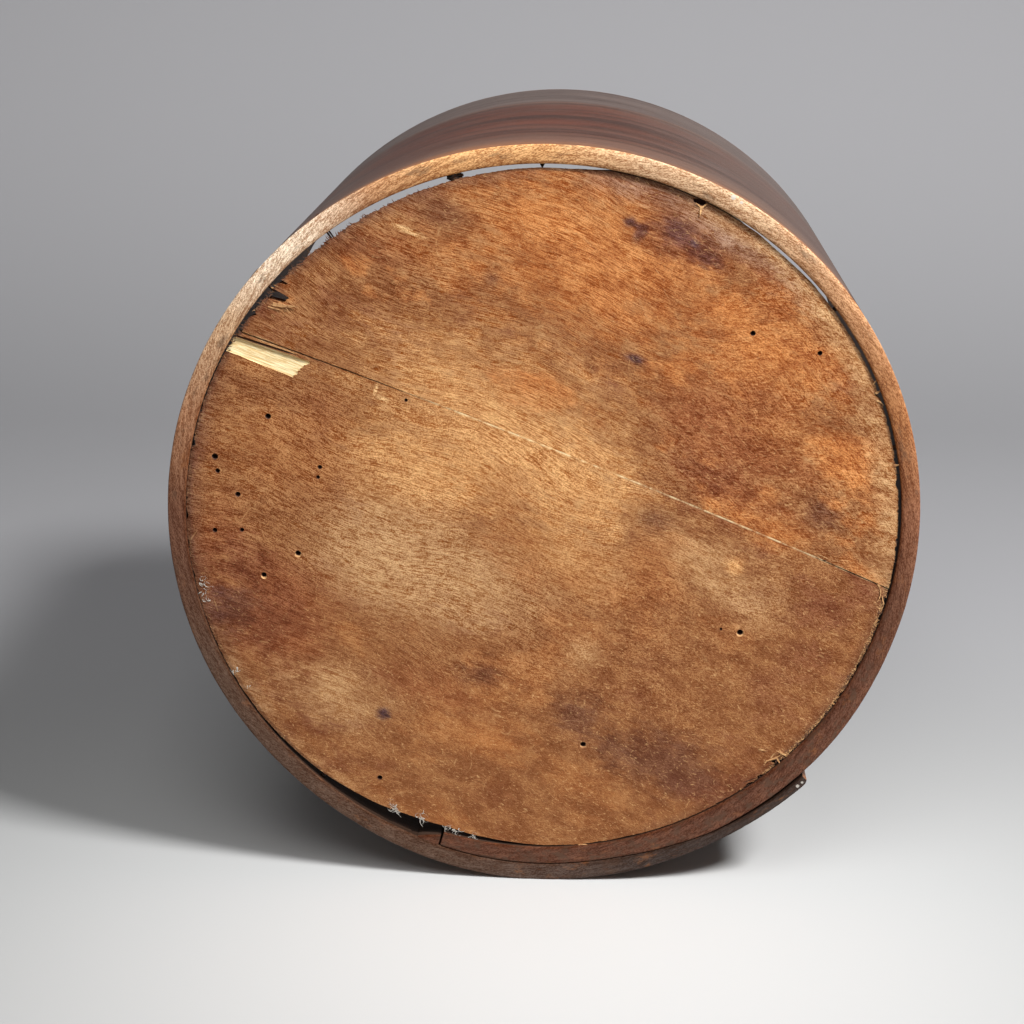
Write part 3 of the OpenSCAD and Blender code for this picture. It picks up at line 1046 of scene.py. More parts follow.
def bend_wall(piece):
    """Bends a flat board, which lies along X, round into the wall, and wears its rims."""
    size = sizes()
    flat = points_of(piece)
    run = flat[:, 0] / flat[:, 0].max()
    height = flat[:, 1]
    depth = np.clip(flat[:, 2] / size.wall_thickness, 0, 1)
    a = size.inner_end + run * board_turn()
    inside, outside = wall_faces(a)
    radius = inside + depth * (outside - inside) + out_of_round(a)
    worn = rim_wear(flat[:, 0], depth, 0, 0.02)
    nicked = rim_wear(flat[:, 0], depth, 3.0, 0.004)
    at_base = np.clip(1 - height / WEAR_REACH, 0, 1)
    at_mouth = np.clip(1 - (size.wall_height - height) / WEAR_REACH, 0, 1)
    edge = np.abs(depth - 0.5) * 2
    hollow = WEAR_DEPTH * (worn + 1) * edge ** 2 + NICK_DEPTH * np.clip(nicked, 0, 1) * edge ** 4
    y = WALL_LO.y + height + hollow * at_base - 2 * hollow * at_mouth
    z = MIDDLE_Z + radius * np.sin(a)
    move_points(piece, np.column_stack((radius * np.cos(a), y, np.maximum(z, 0))))
    keep_flat_places(piece, run * board_length(), height, depth * size.wall_thickness)


def cracked_tip():
    """Thin tip of the inner end, cracked off and lying against the outer layer."""
    size = sizes()
    deselect()
    bpy.ops.mesh.primitive_cube_add(size=1, location=(0.5, 0.5, 0.5))
    tip = settle(bpy.context.active_object, "tip")
    edit()
    bpy.ops.mesh.subdivide(number_cuts=9)
    leave()
    run, height, depth = points_of(tip).T
    a = np.radians(TIP_START + (TIP_END - TIP_START) * run)
    back, _ = outer_layer(a)
    thick = (TIP_FEATHER + (TIP_THICKNESS - TIP_FEATHER) * run ** 0.8) * MM
    radius = back - (1 - depth) * thick - TIP_GAP * MM
    a = a - TIP_LEAN * MM * (1 - depth) * run / radius
    y = WALL_LO.y + TIP_INSET * MM + height * (size.wall_height - 2 * TIP_INSET * MM)
    move_points(tip, np.column_stack((radius * np.cos(a), y, MIDDLE_Z + radius * np.sin(a))))
    keep_flat_places(tip, (run - 1) * TIP_RUN * MM, height * size.wall_height, depth * thick)
    return tip


class MEASURE_OT_side_wall(bpy.types.Operator):
    """Bends one board into the wall, with its ends lapped under the measure"""
    bl_idname = "measure.side_wall"
    bl_label = "Side Wall"

    def execute(self, context):
        size = sizes()
        deselect()
        whole = board_length()
        middle = (whole / 2, size.wall_height / 2, size.wall_thickness / 2)
        bpy.ops.mesh.primitive_cube_add(size=1, location=middle)
        wall = context.active_object
        wall.scale = (whole, size.wall_height, size.wall_thickness)
        settle(wall, "visual_side_wall")
        edit()
        choose(wall, "EDGE", lambda edge: run_of(edge) > whole / 2)
        bpy.ops.mesh.bevel(offset=size.arris, offset_type="OFFSET", segments=3, affect="EDGES")
        for cut in RIM_CUTS:
            cut_through((0, cut * MM, 0), (0, 1, 0))
        for share in DEPTH_CUTS:
            cut_through((0, 0, share * size.wall_thickness), (0, 0, 1))
        for cuts in LENGTH_CUTS:
            choose(wall, "EDGE", lambda edge: run_of(edge) > 1e-5)
            bpy.ops.mesh.subdivide(number_cuts=cuts)
        face_outwards()
        bend_wall(wall)
        wall = join([cracked_tip(), wall], "visual_side_wall")
        take(wall)
        # The bend turns the faces of the board inside out
        edit()
        bpy.ops.mesh.flip_normals()
        leave()
        bpy.ops.object.shade_smooth_by_angle(angle=math.radians(40))
        wall.data.materials.append(wall_wood())
        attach(wall, "root")
        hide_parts("side_wall")
        return {"FINISHED"}


# The base

# Worm holes: along, across, radius, and how pale the lip is worn
WORM_HOLES = (
    (-126.9, 0.9, 1.2, 0), (-142.3, -24.9, 1.3, 0), (-138.9, -30.8, 1.0, 0), (-98.3, -11.9, 0.9, 0),
    (-97.5, -16.5, 0.8, 0), (-127.3, -37.2, 1.1, 0), (-131.2, -56.7, 1.0, 0), (-120.2, -52.1, 0.9, 0),
    (-93.7, -52.6, 1.2, 1), (-104.2, -68.0, 1.1, 1), (-22.4, -139.5, 1.1, 0), (56.2, -88.0, 1.2, 1),
    (50.6, 113.2, 1.1, 0), (80.0, 116.0, 1.0, 0), (99.4, -11.5, 1.3, 1), (91.1, -13.5, 0.6, 0),
    (-74.3, 30.3, 0.7, 0),
)
# Points round the base before its edge is torn
EDGE_POINTS = 2800
# Cuts along the joint of a board: so many in its length, then so many in each part
JOINT_CUTS = (100, 2)
# How near to the line of the joint a corner counts as lying on it
JOINT_BAND = 0.08 * MM
# Half the width of the joint: along, half width
JOINT_GAPS = (
    (-150, 0.34), (-100, 0.26), (-70, 0.12), (-45, 0.03), (0, 0.02), (80, 0.02), (110, 0.05),
    (122, 0.26), (150, 0.34),
)
# Torn strip of the lower board beside the joint: where it starts and ends along the grain, its lower
# edge and its upper edge across the grain, how much it widens, and its depth
TEAR_ENDS = (-156.0, -123.5)
TEAR_LOW = 21.1
TEAR_HIGH = 28.1
TEAR_WIDENS = 2.2
TEAR_DEPTH = 1.3
# Edge of the base boards from the middle of the measure: direction, radius
UPPER_EDGE = (
    (-14, 154.4), (4, 154.5), (24, 155.3), (38, 155.7), (44, 156.0), (47, 155.8), (52, 155.8),
    (55, 156.3), (72, 156.4), (79, 156.2), (83, 155.4), (86, 155.0), (99, 154.4), (117, 153.6),
    (130, 153.6), (141, 154.2), (152, 155.0),
)
LOWER_EDGE = (
    (142, 155.0), (157, 155.5), (188, 155.6), (215, 155.4), (230, 154.5), (240, 153.1), (246, 151.8),
    (253, 150.9), (261, 151.8), (271, 153.2), (291, 153.4), (311, 153.7), (360, 154.5),
)
# How far the edge of the boards slopes in towards their backs: direction, share of the chamfer
SLOPED = (
    (0, 0.3), (44, 0.2), (47, 1.0), (55, 1.0), (58, 0.2), (79, 0.2), (84, 1.0), (128, 1.0),
    (136, 0.4), (360, 0.3),
)
# Where nails have torn the ends of the grain away: side, across, half width, depth
TORN_OUT = (
    (-1, 51.4, 2.5, 8.0), (-1, 58.0, 0.8, 3.0), (1, 108.6, 0.9, 2.2), (1, 26.5, 1.0, 2.5),
    (1, -62.0, 1.6, 3.0),
)
# How ragged the torn edge is: direction, share
RAGGED = (
    (-14, 0.7), (30, 0.7), (60, 0.3), (95, 0.5), (108, 1.0), (150, 1.1), (172, 0.8), (200, 0.6),
    (240, 0.5), (290, 0.4), (310, 0.7), (346, 0.8),
)


def tear_depth(across, side, bearing):
    """Fibre ends tear back to a depth that is set by where the fibre lies across the board."""
    comb = abs(speck(across, side * 0.7, 0.3, 0.9 * MM)) ** 0.7
    fine = 0.5 + 0.5 * speck(across, side * 0.4, 0.9, 0.45 * MM)
    deep = max(0.0, speck(across, side * 0.3, 0.1, 2.6 * MM) - 0.15)
    depth = (1.1 * comb + 0.5 * fine + 2.0 * deep) * float(np.interp(bearing, *zip(*RAGGED)))
    for torn_side, place, half_width, torn in TORN_OUT:
        near = abs(across / MM - place) / half_width
        if torn_side == side and near < 1:
            depth += torn * min(1.0, 2.5 * (1 - near)) * (0.85 + 0.3 * fine)
    return depth * MM


def edge_of(side):
    """Directions and radii of the edge of one board: 1 for the upper one, -1 for the lower one."""
    return tuple(zip(*(UPPER_EDGE if side > 0 else LOWER_EDGE)))


def base_edge(piece, side):
    """Shapes the edge of a base board: worn out of round, and torn at the ends of the grain."""
    u, v = grain_axes()
    bearings, reaches = edge_of(side)
    rows = points_of(piece)
    middle = Vector((0, 0, MIDDLE_Z))
    for index, row in enumerate(rows):
        radial = Vector((row[0], 0, row[2] - MIDDLE_Z)).normalized()
        bearing = math.degrees(math.atan2(radial.z, radial.x)) % 360
        if side > 0 and bearing > 270:
            bearing -= 360
        radius = float(np.interp(bearing, bearings, reaches)) * MM
        radius += 0.22 * MM * speck(math.radians(bearing), 0.5, side * 0.2, 0.06)
        place = radial * radius
        end_on = radial.dot(u)
        ending = 1 if end_on > 0 else -1
        torn = tear_depth(place.dot(v), ending, bearing)
        place -= u * ending * torn * min(1.0, abs(end_on) * 1.6)
        rows[index] = (middle.x + place.x, row[1], middle.z + place.z)
    move_points(piece, rows)


def joint_gap(along):
    """Half the width of the joint: open at both ends, tight in the middle."""
    return float(np.interp(along / MM, *zip(*JOINT_GAPS))) * MM


def base_board(name, side):
    """Plank of the base: a round cut along the joint, its edges torn, then given its thickness."""
    size = sizes()
    u, v = grain_axes()
    deselect()
    bpy.ops.mesh.primitive_circle_add(
        vertices=EDGE_POINTS, radius=size.base_radius, fill_type="NOTHING",
        location=(0, BASE_LO.y, MIDDLE_Z), rotation=(math.pi / 2, 0, 0))
    board = settle(bpy.context.active_object, name)
    base_edge(board, side)
    on_joint = Vector((0, BASE_LO.y, MIDDLE_Z)) + v * size.joint
    edit()
    bpy.ops.mesh.bisect(plane_co=on_joint, plane_no=v, clear_inner=side > 0, clear_outer=side < 0)
    bpy.ops.mesh.select_all(action="SELECT")
    bpy.ops.mesh.edge_face_add()
    choose(board, "EDGE", lambda edge: edge.calc_length() > size.base_radius)
    bpy.ops.mesh.subdivide(number_cuts=JOINT_CUTS[0])
    choose(board, "EDGE", lambda edge: all(abs((p.co - on_joint).dot(v)) < JOINT_BAND for p in edge.verts))
    bpy.ops.mesh.subdivide(number_cuts=JOINT_CUTS[1])
    leave()
    for point in board.data.vertices:
        offset = point.co - on_joint
        if abs(offset.dot(v)) < JOINT_BAND:
            along = offset.dot(u)
            point.co -= v * offset.dot(v)
            chip = 0.06 * MM * max(0.0, speck(along, side * 2.0, 0.7, 3 * MM))
            bow = (BOW_TOP - BOW_FALL * (along / MM - BOW_MIDDLE) ** 2) * MM - size.joint
            point.co += v * (bow + side * (joint_gap(along) + chip))
    edit()
    draw_out(0, size.base_thickness, 0)
    face_outwards()
    rows = points_of(board)
    for row in rows:
        radial = Vector((row[0], 0, row[2] - MIDDLE_Z))
        if row[1] > BASE_HI.y - 1e-4 and radial.length > 0.9 * size.base_radius:
            share = np.interp(math.degrees(math.atan2(radial.z, radial.x)) % 360, *zip(*SLOPED))
            row -= np.array(radial.normalized()) * size.back_chamfer * share
    move_points(board, rows)
    return board


def bore_cutters(holes):
    """Worm bores of one board, each leaning its own way."""
    pieces = []
    for along, across, radius, _ in holes:
        lean = random.Random(int(along * 10)).uniform(-0.25, 0.25)
        bpy.ops.mesh.primitive_cone_add(
            vertices=14, radius1=radius * 1.08 * MM, radius2=radius * 0.92 * MM, depth=7 * MM,
            location=on_base(along, across, 2.3), rotation=(-math.pi / 2 + lean * 0.4, lean, 0))
        pieces.append(settle(bpy.context.active_object, "bore"))
        deselect()
    return pieces


def lip_cutters(holes):
    """Pale worn lips under some of the worm holes."""
    pieces = []
    for along, across, radius, pale in holes:
        if not pale:
            continue
        place = on_base(along, across, -0.35) + Vector((0, 0, -0.55 * radius * MM))
        bpy.ops.mesh.primitive_uv_sphere_add(segments=20, ring_count=10, radius=1, location=place)
        lip = bpy.context.active_object
        lip.scale = (radius * 1.35 * MM, 0.95 * MM, radius * 1.25 * MM)
        pieces.append(settle(lip, "lip"))
        deselect()
    return pieces


def tear_cutter():
    """Cutter for the torn strip: a slightly slanted, fibrous floor under an open top."""
    bpy.ops.mesh.primitive_grid_add(x_subdivisions=70, y_subdivisions=20, size=1)
    piece = settle(bpy.context.active_object, "tear")
    rows = points_of(piece)
    start, end = TEAR_ENDS
    for index, (x, y, _) in enumerate(rows):
        s, t = x + 0.5, y + 0.5
        ragged = 1.4 * speck(0.2, t * 6.0, 0.0, 1.0) + 0.7 * speck(0.7, t * 17.0, 0.0, 1.0) + 5.0 * t
        along = start + s * (end + ragged - start)
        low = TEAR_LOW + 0.25 * speck(along, 0, 0.9, 6.0)
        high = TEAR_HIGH + TEAR_WIDENS * s + 0.12 * speck(along, 4.0, 0, 5.0)
        across = low + t * (high - low)
        deep = (0.25 + 0.55 * t) * TEAR_DEPTH * (1 - 0.35 * s ** 4)
        fibre = 0.10 * speck(along * 0.08, across, 2.0, 0.7)
        rows[index] = on_base(along, across, deep + fibre)
    move_points(piece, rows)
    take(piece)
    edit()
    draw_out(0, -6 * MM, 0)
    face_outwards()
    return piece


# Cracks in the face of the base: along, across, heading from the grain, length, width, depth
CRACKS = (
    (146.0, 94.5, -6, 9.0, 0.5, 1.6), (143.0, 64.0, 8, 5.0, 0.4, 1.2), (150.5, 40.5, 4, 6.0, 0.5, 1.6),
    (140.0, -63.0, 38, 8.0, 0.5, 1.4), (132.0, -75.0, 44, 7.0, 0.4, 1.2), (118.5, 32.4, 24, 5.0, 0.6, 1.8),
    (8.2, 155.2, 2, 6.0, 2.4, 3.0), (-140.0, 29.7, 4, 34.0, 0.9, 2.6),
)


def crack_cutters(cracks):
    """Narrow cracks that run out to points."""
    pieces = []
    for along, across, heading, reach, width, deep in cracks:
        bpy.ops.mesh.primitive_cylinder_add(
            vertices=8, radius=1, depth=2, location=on_base(along, across), rotation=(math.pi / 2, 0, 0))
        crack = bpy.context.active_object
        crack.scale = (reach / 2 * MM, width / 2 * MM, deep * MM)
        bpy.ops.object.transform_apply(location=False, rotation=True, scale=True)
        crack.rotation_euler = (0, -sizes().grain - math.radians(heading), 0)
        pieces.append(settle(crack, "crack"))
        deselect()
    return pieces


def carve(board, cutters, slot):
    """Cuts a board by several cutters, whose faces show one of the board's finishes."""
    if not cutters:
        return
    cutter = join(cutters, "cutter")
    cutter.data.materials.clear()
    for material in board.data.materials:
        cutter.data.materials.append(material)
    paint(cutter, slot)
    apply_boolean(board, cutter)


# Splinters that stand on the base: along, across, heading from the grain, length, width, lift, curl
SPLINTERS = (
    (-141.5, 47.8, 8, 11.0, 1.5, 1.2, 10), (-139.5, 49.3, -6, 5.5, 0.8, 0.8, -12),
    (-143.0, 46.0, 2, 6.5, 0.8, 0.6, 6), (9.7, 153.9, -84, 4.3, 1.1, 0.8, 8),
    (9.9, 153.5, 57, 2.7, 0.9, 0.6, 0), (10.0, 153.3, 162, 3.5, 0.9, 0.7, 0),
    (129.6, -59.7, 10, 3.2, 0.6, 0.5, 6), (139.0, -60.2, -150, 6.2, 0.9, 1.0, 10),
    (142.9, -57.5, 180, 6.3, 1.1, 1.2, -8), (138.8, -60.3, -45, 3.7, 0.8, 0.8, 10),
    (135.1, -62.9, -96, 2.4, 0.6, 0.6, 0), (138.0, -60.7, 55, 3.6, 0.8, 0.9, 6),
    (138.2, -56.3, -32, 2.4, 0.7, 0.8, 0), (143.5, -58.8, 122, 3.4, 0.9, 1.0, 0),
    (136.3, -61.3, 86, 3.8, 0.7, 0.8, -8), (133.5, -59.0, 172, 4.0, 0.5, 0.5, 10),
    (145.5, 32.0, -28, 8.0, 0.9, 0.8, -40), (149.5, 28.0, -70, 4.0, 0.6, 0.8, 15),
    (108.6, 109.0, 40, 4.2, 0.9, 0.7, 20), (110.4, 106.5, 4, 3.6, 0.8, 0.7, -18),
    (106.0, 112.0, 70, 2.6, 0.6, 0.5, 8), (129.0, 83.0, 30, 3.4, 0.9, 0.6, 10),
    (73.7, -135.3, 40, 4.3, 1.3, 0.8, -10), (75.5, -134.2, 18, 3.4, 0.8, 0.7, -20),
    (120.5, 34.2, 170, 5.0, 0.5, 0.4, 8),
)
# Tufts of white lint: along, across, radius, threads
LINT = (
    (-128.5, -81.5, 2.0, 14), (-124.0, -88.0, 1.8, 12), (-126.5, -85.0, 1.2, 8),
    (-101.0, -114.5, 2.2, 14), (-93.0, -119.5, 1.2, 5), (-11.5, -150.2, 2.0, 14),
    (-9.5, -151.4, 1.8, 10), (2.6, -150.4, 2.1, 14), (15.2, -150.2, 1.6, 10), (18.6, -150.8, 1.8, 10),
    (27.6, -149.8, 1.8, 7),
)
# Loose fibres along the edge of each board
EDGE_FIBRES = 210
# Where the edge of each board is combed out into more fibres: directions from and to, and how many
COMBED = {1: (118, 150, 70), -1: (314, 347, 80)}


def straight_sliver():
    """One straight strip of unit size, to be copied and bent."""
    deselect()
    bpy.ops.mesh.primitive_cube_add(size=1, location=(0.5, 0, 0))
    blank = settle(bpy.context.active_object, "straight_sliver")
    edit()
    choose(blank, "EDGE", lambda edge: run_of(edge) > 0.5)
    bpy.ops.mesh.subdivide(number_cuts=5)
    leave()
    return blank


def sliver(along, across, heading, reach, width, lift=0.5, curl=0.0, depth=0.0):
    """Splinter on the base: a thin strip that tapers to a point, and lifts and curls as it goes."""
    blank = bpy.data.objects["straight_sliver"]
    piece = blank.copy()
    piece.data = blank.data.copy()
    bpy.context.scene.collection.objects.link(piece)
    rows = points_of(piece)
    for index, (x, y, z) in enumerate(rows):
        turn = math.radians(heading + curl * x)
        narrow = (1 - 0.85 * x ** 1.5) * (1 + 0.5 * speck(along + 9 * x, across, 0.5, 1.0))
        step = x * reach
        side = z * width * narrow
        raise_up = lift * x * x - y * 0.5 * width * narrow
        rows[index] = on_base(
            along + step * math.cos(turn) - side * math.sin(turn),
            across + step * math.sin(turn) + side * math.cos(turn), depth - raise_up)
    move_points(piece, rows)
    return piece


def near_edge(rng, side, first, last, inset):
    """Random place just inside the edge of a board, and its direction from the grain."""
    bearing = rng.uniform(first, last)
    reach = float(np.interp(bearing, *edge_of(side))) - rng.uniform(*inset)
    turned = math.radians(bearing) - sizes().grain
    return reach * math.cos(turned), reach * math.sin(turned), turned


def out_of_board(rng, along, stray):
    """Heading of a loose fibre, more or less along the grain and out of the board."""
    return (0 if along > 0 else 180) + rng.gauss(0, stray)


def edge_fibres(side):
    """Loose ends of fibre all along the torn edges of one board."""
    rng = random.Random(17 + side)
    joint = sizes().joint / MM
    bearings, _ = edge_of(side)
    pieces = []
    while len(pieces) < EDGE_FIBRES:
        along, across, turned = near_edge(rng, side, bearings[0], bearings[-1], (0.6, 2.2))
        if side * (across - joint) < 1 or abs(math.cos(turned)) < rng.random():
            continue
        pieces.append(sliver(
            along, across, out_of_board(rng, along, 16), rng.uniform(0.7, 1.9), rng.uniform(0.18, 0.42),
            rng.uniform(0.0, 0.5), rng.gauss(0, 30), rng.uniform(0.0, 0.8)))
    first, last, count = COMBED[side]
    for _ in range(count):
        along, across, _ = near_edge(rng, side, first, last, (0.4, 2.4))
        pieces.append(sliver(
            along, across, out_of_board(rng, along, 30), rng.uniform(1.0, 2.4), rng.uniform(0.25, 0.50),
            rng.uniform(0.1, 0.6), rng.gauss(0, 40)))
    return pieces


def lint_tuft(along, across, radius, threads):
    """Tuft of white lint caught on the edge of the base, most of it hanging down."""
    rng = random.Random(int(along * 10))
    down = -90 - math.degrees(sizes().grain)
    pieces = []
    for _ in range(threads):
        start = (along + rng.gauss(0, radius * 0.4), across + rng.gauss(0, radius * 0.6))
        pieces.append(sliver(
            *start, rng.gauss(down, 40), rng.uniform(0.7, 1.8) * radius, rng.uniform(0.25, 0.55),
            rng.uniform(0.0, 0.8), rng.gauss(0, 120), rng.uniform(-0.2, 0.8)))
    return pieces


def dress(board, pieces, material):
    """Adds splinters or lint of one finish to a board."""
    for piece in pieces:
        piece.data.materials.append(material)
    return join(pieces + [board], board.name)


# Finishes of a base board, in the order of the slots in its mesh
FACE_SLOT, RAW_SLOT, BORE_SHADE_SLOT, SPLINTER_SLOT = range(4)


def rows_on(rows, upper):
    """Rows of a table whose place across the grain lies on one board."""
    joint = sizes().joint / MM
    return [row for row in rows if (row[1] > joint) == upper]


def finish_board(board, wood, node):
    """Carves the holes, cracks and torn strip of a board, adds its splinters, and puts it in the frame."""
    upper = node.endswith("upper")
    finishes = bpy.data.materials
    for material in (wood, finishes["raw_wood"], finishes["bore_shade"], finishes["splinter_wood"]):
        board.data.materials.append(material)
    paint(board, FACE_SLOT)
    holes = rows_on(WORM_HOLES, upper)
    if not upper:
        carve(board, [tear_cutter()], RAW_SLOT)
    carve(board, lip_cutters(holes), SPLINTER_SLOT)
    carve(board, bore_cutters(holes), BORE_SHADE_SLOT)
    carve(board, crack_cutters(rows_on(CRACKS, upper)), BORE_SHADE_SLOT)
    splinters = [sliver(*row) for row in rows_on(SPLINTERS, upper)]
    if not upper:
        tufts = [piece for row in LINT for piece in lint_tuft(*row)]
        board = dress(board, tufts, lint())
    board = dress(board, splinters, finishes["splinter_wood"])
    board = dress(board, edge_fibres(1 if upper else -1), finishes["edge_fibre"])
    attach(board, "root")
    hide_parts(node)


class MEASURE_OT_base_boards(bpy.types.Operator):
    """Cuts the two planks of the base, with their torn edges, worm holes and splinters"""
    bl_idname = "measure.base_boards"
    bl_label = "Base Boards"

    def execute(self, context):
        straight_sliver()
        raw_wood()
        splinter_wood()
        edge_fibre()
        bore_shade()
        upper = base_board("visual_base_board_upper", 1)
        finish_board(upper, base_wood("base_wood_upper", 1.0, True), "base_board_upper")
        lower = base_board("visual_base_board_lower", -1)
        finish_board(lower, base_wood("base_wood_lower", 2.0, False), "base_board_lower")
        bpy.data.objects.remove(bpy.data.objects["straight_sliver"], do_unlink=True)
        return {"FINISHED"}


# The nails

# Base nails: direction, shank radius, how far the head stands out, and how much of the shank is left
UPPER_NAILS = (
    (13.5, 1.2, 0.1, 1.0), (38, 1.2, 0.1, 1.0), (62.5, 1.2, -0.5, 1.0), (90, 1.3, -0.5, 0.34),
    (103.5, 1.35, -0.5, 1.0), (125.5, 0.55, -0.5, 1.0), (138, 1.2, 0.1, 0.45),
)
LOWER_NAILS = (
    (160.5, 1.2, 0.1, 1.0), (190, 1.2, 0.1, 1.0), (208, 1.2, 0.1, 1.0), (231, 1.2, 0.1, 1.0),
    (317, 1.2, 0.1, 1.0), (340, 1.2, 0.1, 1.0),
)
LAP_BASE_NAILS = ((264, 1.2, -0.4, 1.0), (284, 1.2, -0.4, 1.0), (300, 1.2, -0.4, 1.0))
# How far the base nails lie in from the rim, and how long they are outside the lap and through it
BASE_NAIL_DEPTH = 5.5
BASE_NAIL_LENGTH = 24.8
LAP_BASE_NAIL_LENGTH = 32.8
# Rows of nails in the lap: how far from the end of the board and from the rims, how many, how long at
# each end, how far their heads stand out, and the radius of their shanks
LAP_ROW_INSET = 13.0
LAP_ROW_MARGIN = 22.0
LAP_ROW_COUNT = 5
LAP_INNER_LENGTH = 14.0
LAP_OUTER_LENGTH = 13.0
LAP_NAIL_PROUD = 0.3
LAP_NAIL_SHANK = 1.0
# Nail heads: radius, thickness
BASE_NAIL_HEAD = (2.5 * MM, 1.2 * MM)
LAP_NAIL_HEAD = (2.25 * MM, 0.9 * MM)
PIN_HEAD = (0.9 * MM, 0.8 * MM)
# Steps in which a shank is drawn out: share of its length, taper
SHANK_STEPS = ((0.55, 0.95), (0.30, 0.80), (0.15, 0.25))
# Thin pin beside a base nail: direction, distance from the rim, shank radius, length, how far its head
# stands out
PIN = (125.0, 4.0, 0.42, 22, 0.4)
# Lump of rust: direction, radius, distance from the rim, and its half sizes
LUMP_PLACE = (103.5, 154.9, 3.6)
LUMP_SIZE = (1.5, 1.6, 3.3)
# How far hand forging throws a corner of a nail out
FORGED = 0.06 * MM


def forged_nail(head_radius, head_thickness, shank_radius, reach, seed):
    """Forged nail along -X with the top of its head at X = 0: a faceted head and a tapered shank."""
    rng = random.Random(seed)
    deselect()
    bpy.ops.mesh.primitive_cylinder_add(
        vertices=9, radius=head_radius, depth=head_thickness, location=(-head_thickness / 2, 0, 0),
        rotation=(0, math.pi / 2, 0))
    nail = settle(bpy.context.active_object, "nail")
    edit()
    choose(nail, "FACE", lambda face: face.normal.x > 0.9)
    bpy.ops.mesh.inset(thickness=head_radius * 0.45)
    bpy.ops.transform.translate(value=(head_thickness * 0.12, 0, 0))
    choose(nail, "FACE", lambda face: face.normal.x < -0.9)
    bpy.ops.mesh.inset(thickness=head_radius - shank_radius)
    for share, taper in SHANK_STEPS:
        draw_out(-share * reach, 0, 0)
        bpy.ops.transform.resize(value=(1, taper, taper))
    face_outwards()
    rows = points_of(nail)
    for row in rows:
        bent = row[0] * rng.uniform(-0.01, 0.01)
        row[1] += bent + rng.uniform(-FORGED, FORGED)
        row[2] += rng.uniform(-FORGED, FORGED)
    move_points(nail, rows)
    return nail


def drive(nail, bearing, radius, y, roll=0.0):
    """Puts a nail in the wall, its head out at a radius."""
    rolled = Matrix.Translation((radius, 0, 0)) @ Matrix.Rotation(roll, 4, "X")
    turned = Matrix.Rotation(-bearing, 4, "Y") @ rolled
    nail.data.transform(Matrix.Translation((0, y, MIDDLE_Z)) @ turned)
    return nail


def outside_at(bearing):
    """Outside radius of the wall in a direction, over the lap too."""
    size = sizes()
    if size.swing_start <= bearing <= size.outer_end:
        return float(outer_layer(bearing)[1])
    return size.outer_radius + float(out_of_round(bearing))


def base_nails(rows, reach):
    """Row of nails through the wall into the edge of the base."""
    nails = []
    for index, (degrees, shank, proud, left) in enumerate(rows):
        bearing = math.radians(degrees)
        nail = forged_nail(*BASE_NAIL_HEAD, shank * MM, reach * left * MM, index * 7 + len(rows))
        top = outside_at(bearing) + proud * MM
        nails.append(drive(nail, bearing, top, WALL_LO.y + BASE_NAIL_DEPTH * MM, index * 1.3))
    return nails


def lap_row(bearing, reach, seed):
    """Row of small nails across the lap."""
    nails = []
    pitch = (sizes().wall_height - 2 * LAP_ROW_MARGIN * MM) / (LAP_ROW_COUNT - 1)
    top = outside_at(bearing) + LAP_NAIL_PROUD * MM
    for index in range(LAP_ROW_COUNT):
        nail = forged_nail(*LAP_NAIL_HEAD, LAP_NAIL_SHANK * MM, reach * MM, seed + index)
        y = WALL_LO.y + LAP_ROW_MARGIN * MM + index * pitch
        nails.append(drive(nail, bearing, top, y, index * 1.7))
    return nails


def thin_pin():
    """Thin second pin beside a base nail."""
    degrees, depth, shank, reach, proud = PIN
    pin = forged_nail(*PIN_HEAD, shank * MM, reach * MM, 91)
    bearing = math.radians(degrees)
    return drive(pin, bearing, outside_at(bearing) + proud * MM, WALL_LO.y + depth * MM)


def rust_lump():
    """Lump of rust and dirt round the shank that shows in the gap."""
    bpy.ops.mesh.primitive_ico_sphere_add(subdivisions=4, radius=1)
    lump = settle(bpy.context.active_object, "lump")
    rows = points_of(lump)
    for row in rows:
        swell = 1 + 0.35 * speck(*row, 0.55) + 0.18 * speck(*row, 0.2)
        row[:] = row * swell * np.array(LUMP_SIZE) * MM
    move_points(lump, rows)
    degrees, radius, depth = LUMP_PLACE
    return drive(lump, math.radians(degrees), radius * MM, WALL_LO.y + depth * MM)


class MEASURE_OT_nails(bpy.types.Operator):
    """Forges the nails and drives them through the wall"""
    bl_idname = "measure.nails"
    bl_label = "Nails"

    def execute(self, context):
        size = sizes()
        iron = nail_iron()
        inset = LAP_ROW_INSET * MM / size.outer_radius
        beside = [thin_pin(), rust_lump()]
        groups = (
            ("base_nails_upper", base_nails(UPPER_NAILS, BASE_NAIL_LENGTH) + beside),
            ("base_nails_lower", base_nails(LOWER_NAILS, BASE_NAIL_LENGTH)),
            ("base_nails_lap", base_nails(LAP_BASE_NAILS, LAP_BASE_NAIL_LENGTH)),
            ("lap_nails_inner_end", lap_row(size.inner_end + inset, LAP_INNER_LENGTH, 31)),
            ("lap_nails_outer_end", lap_row(size.outer_end - inset, LAP_OUTER_LENGTH, 47)),
        )
        for node, nails in groups:
            piece = join(nails, "visual_" + node)
            piece.data.materials.clear()
            piece.data.materials.append(iron)
            take(piece)
            bpy.ops.object.shade_smooth_by_angle(angle=math.radians(35))
            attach(piece, "root")
            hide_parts(node)
        return {"FINISHED"}


# The stage

# The paper, in metres: its size and place, how high its back rises, and the radius of the bend between
SWEEP_SIZE = (24, 16, 1)
SWEEP_PLACE = (0, -6.2, 0)
SWEEP_RISE = 3
SWEEP_BEND = 1.1
# Middle of the pool of light painted on the floor, in front of the measure
LIGHT_POOL = (0, -0.16, 0)
# How bright the painted glow of the far paper, and the empty background, look to the camera
SEEN_PAPER = 0.42
SEEN_WORLD = 0.45
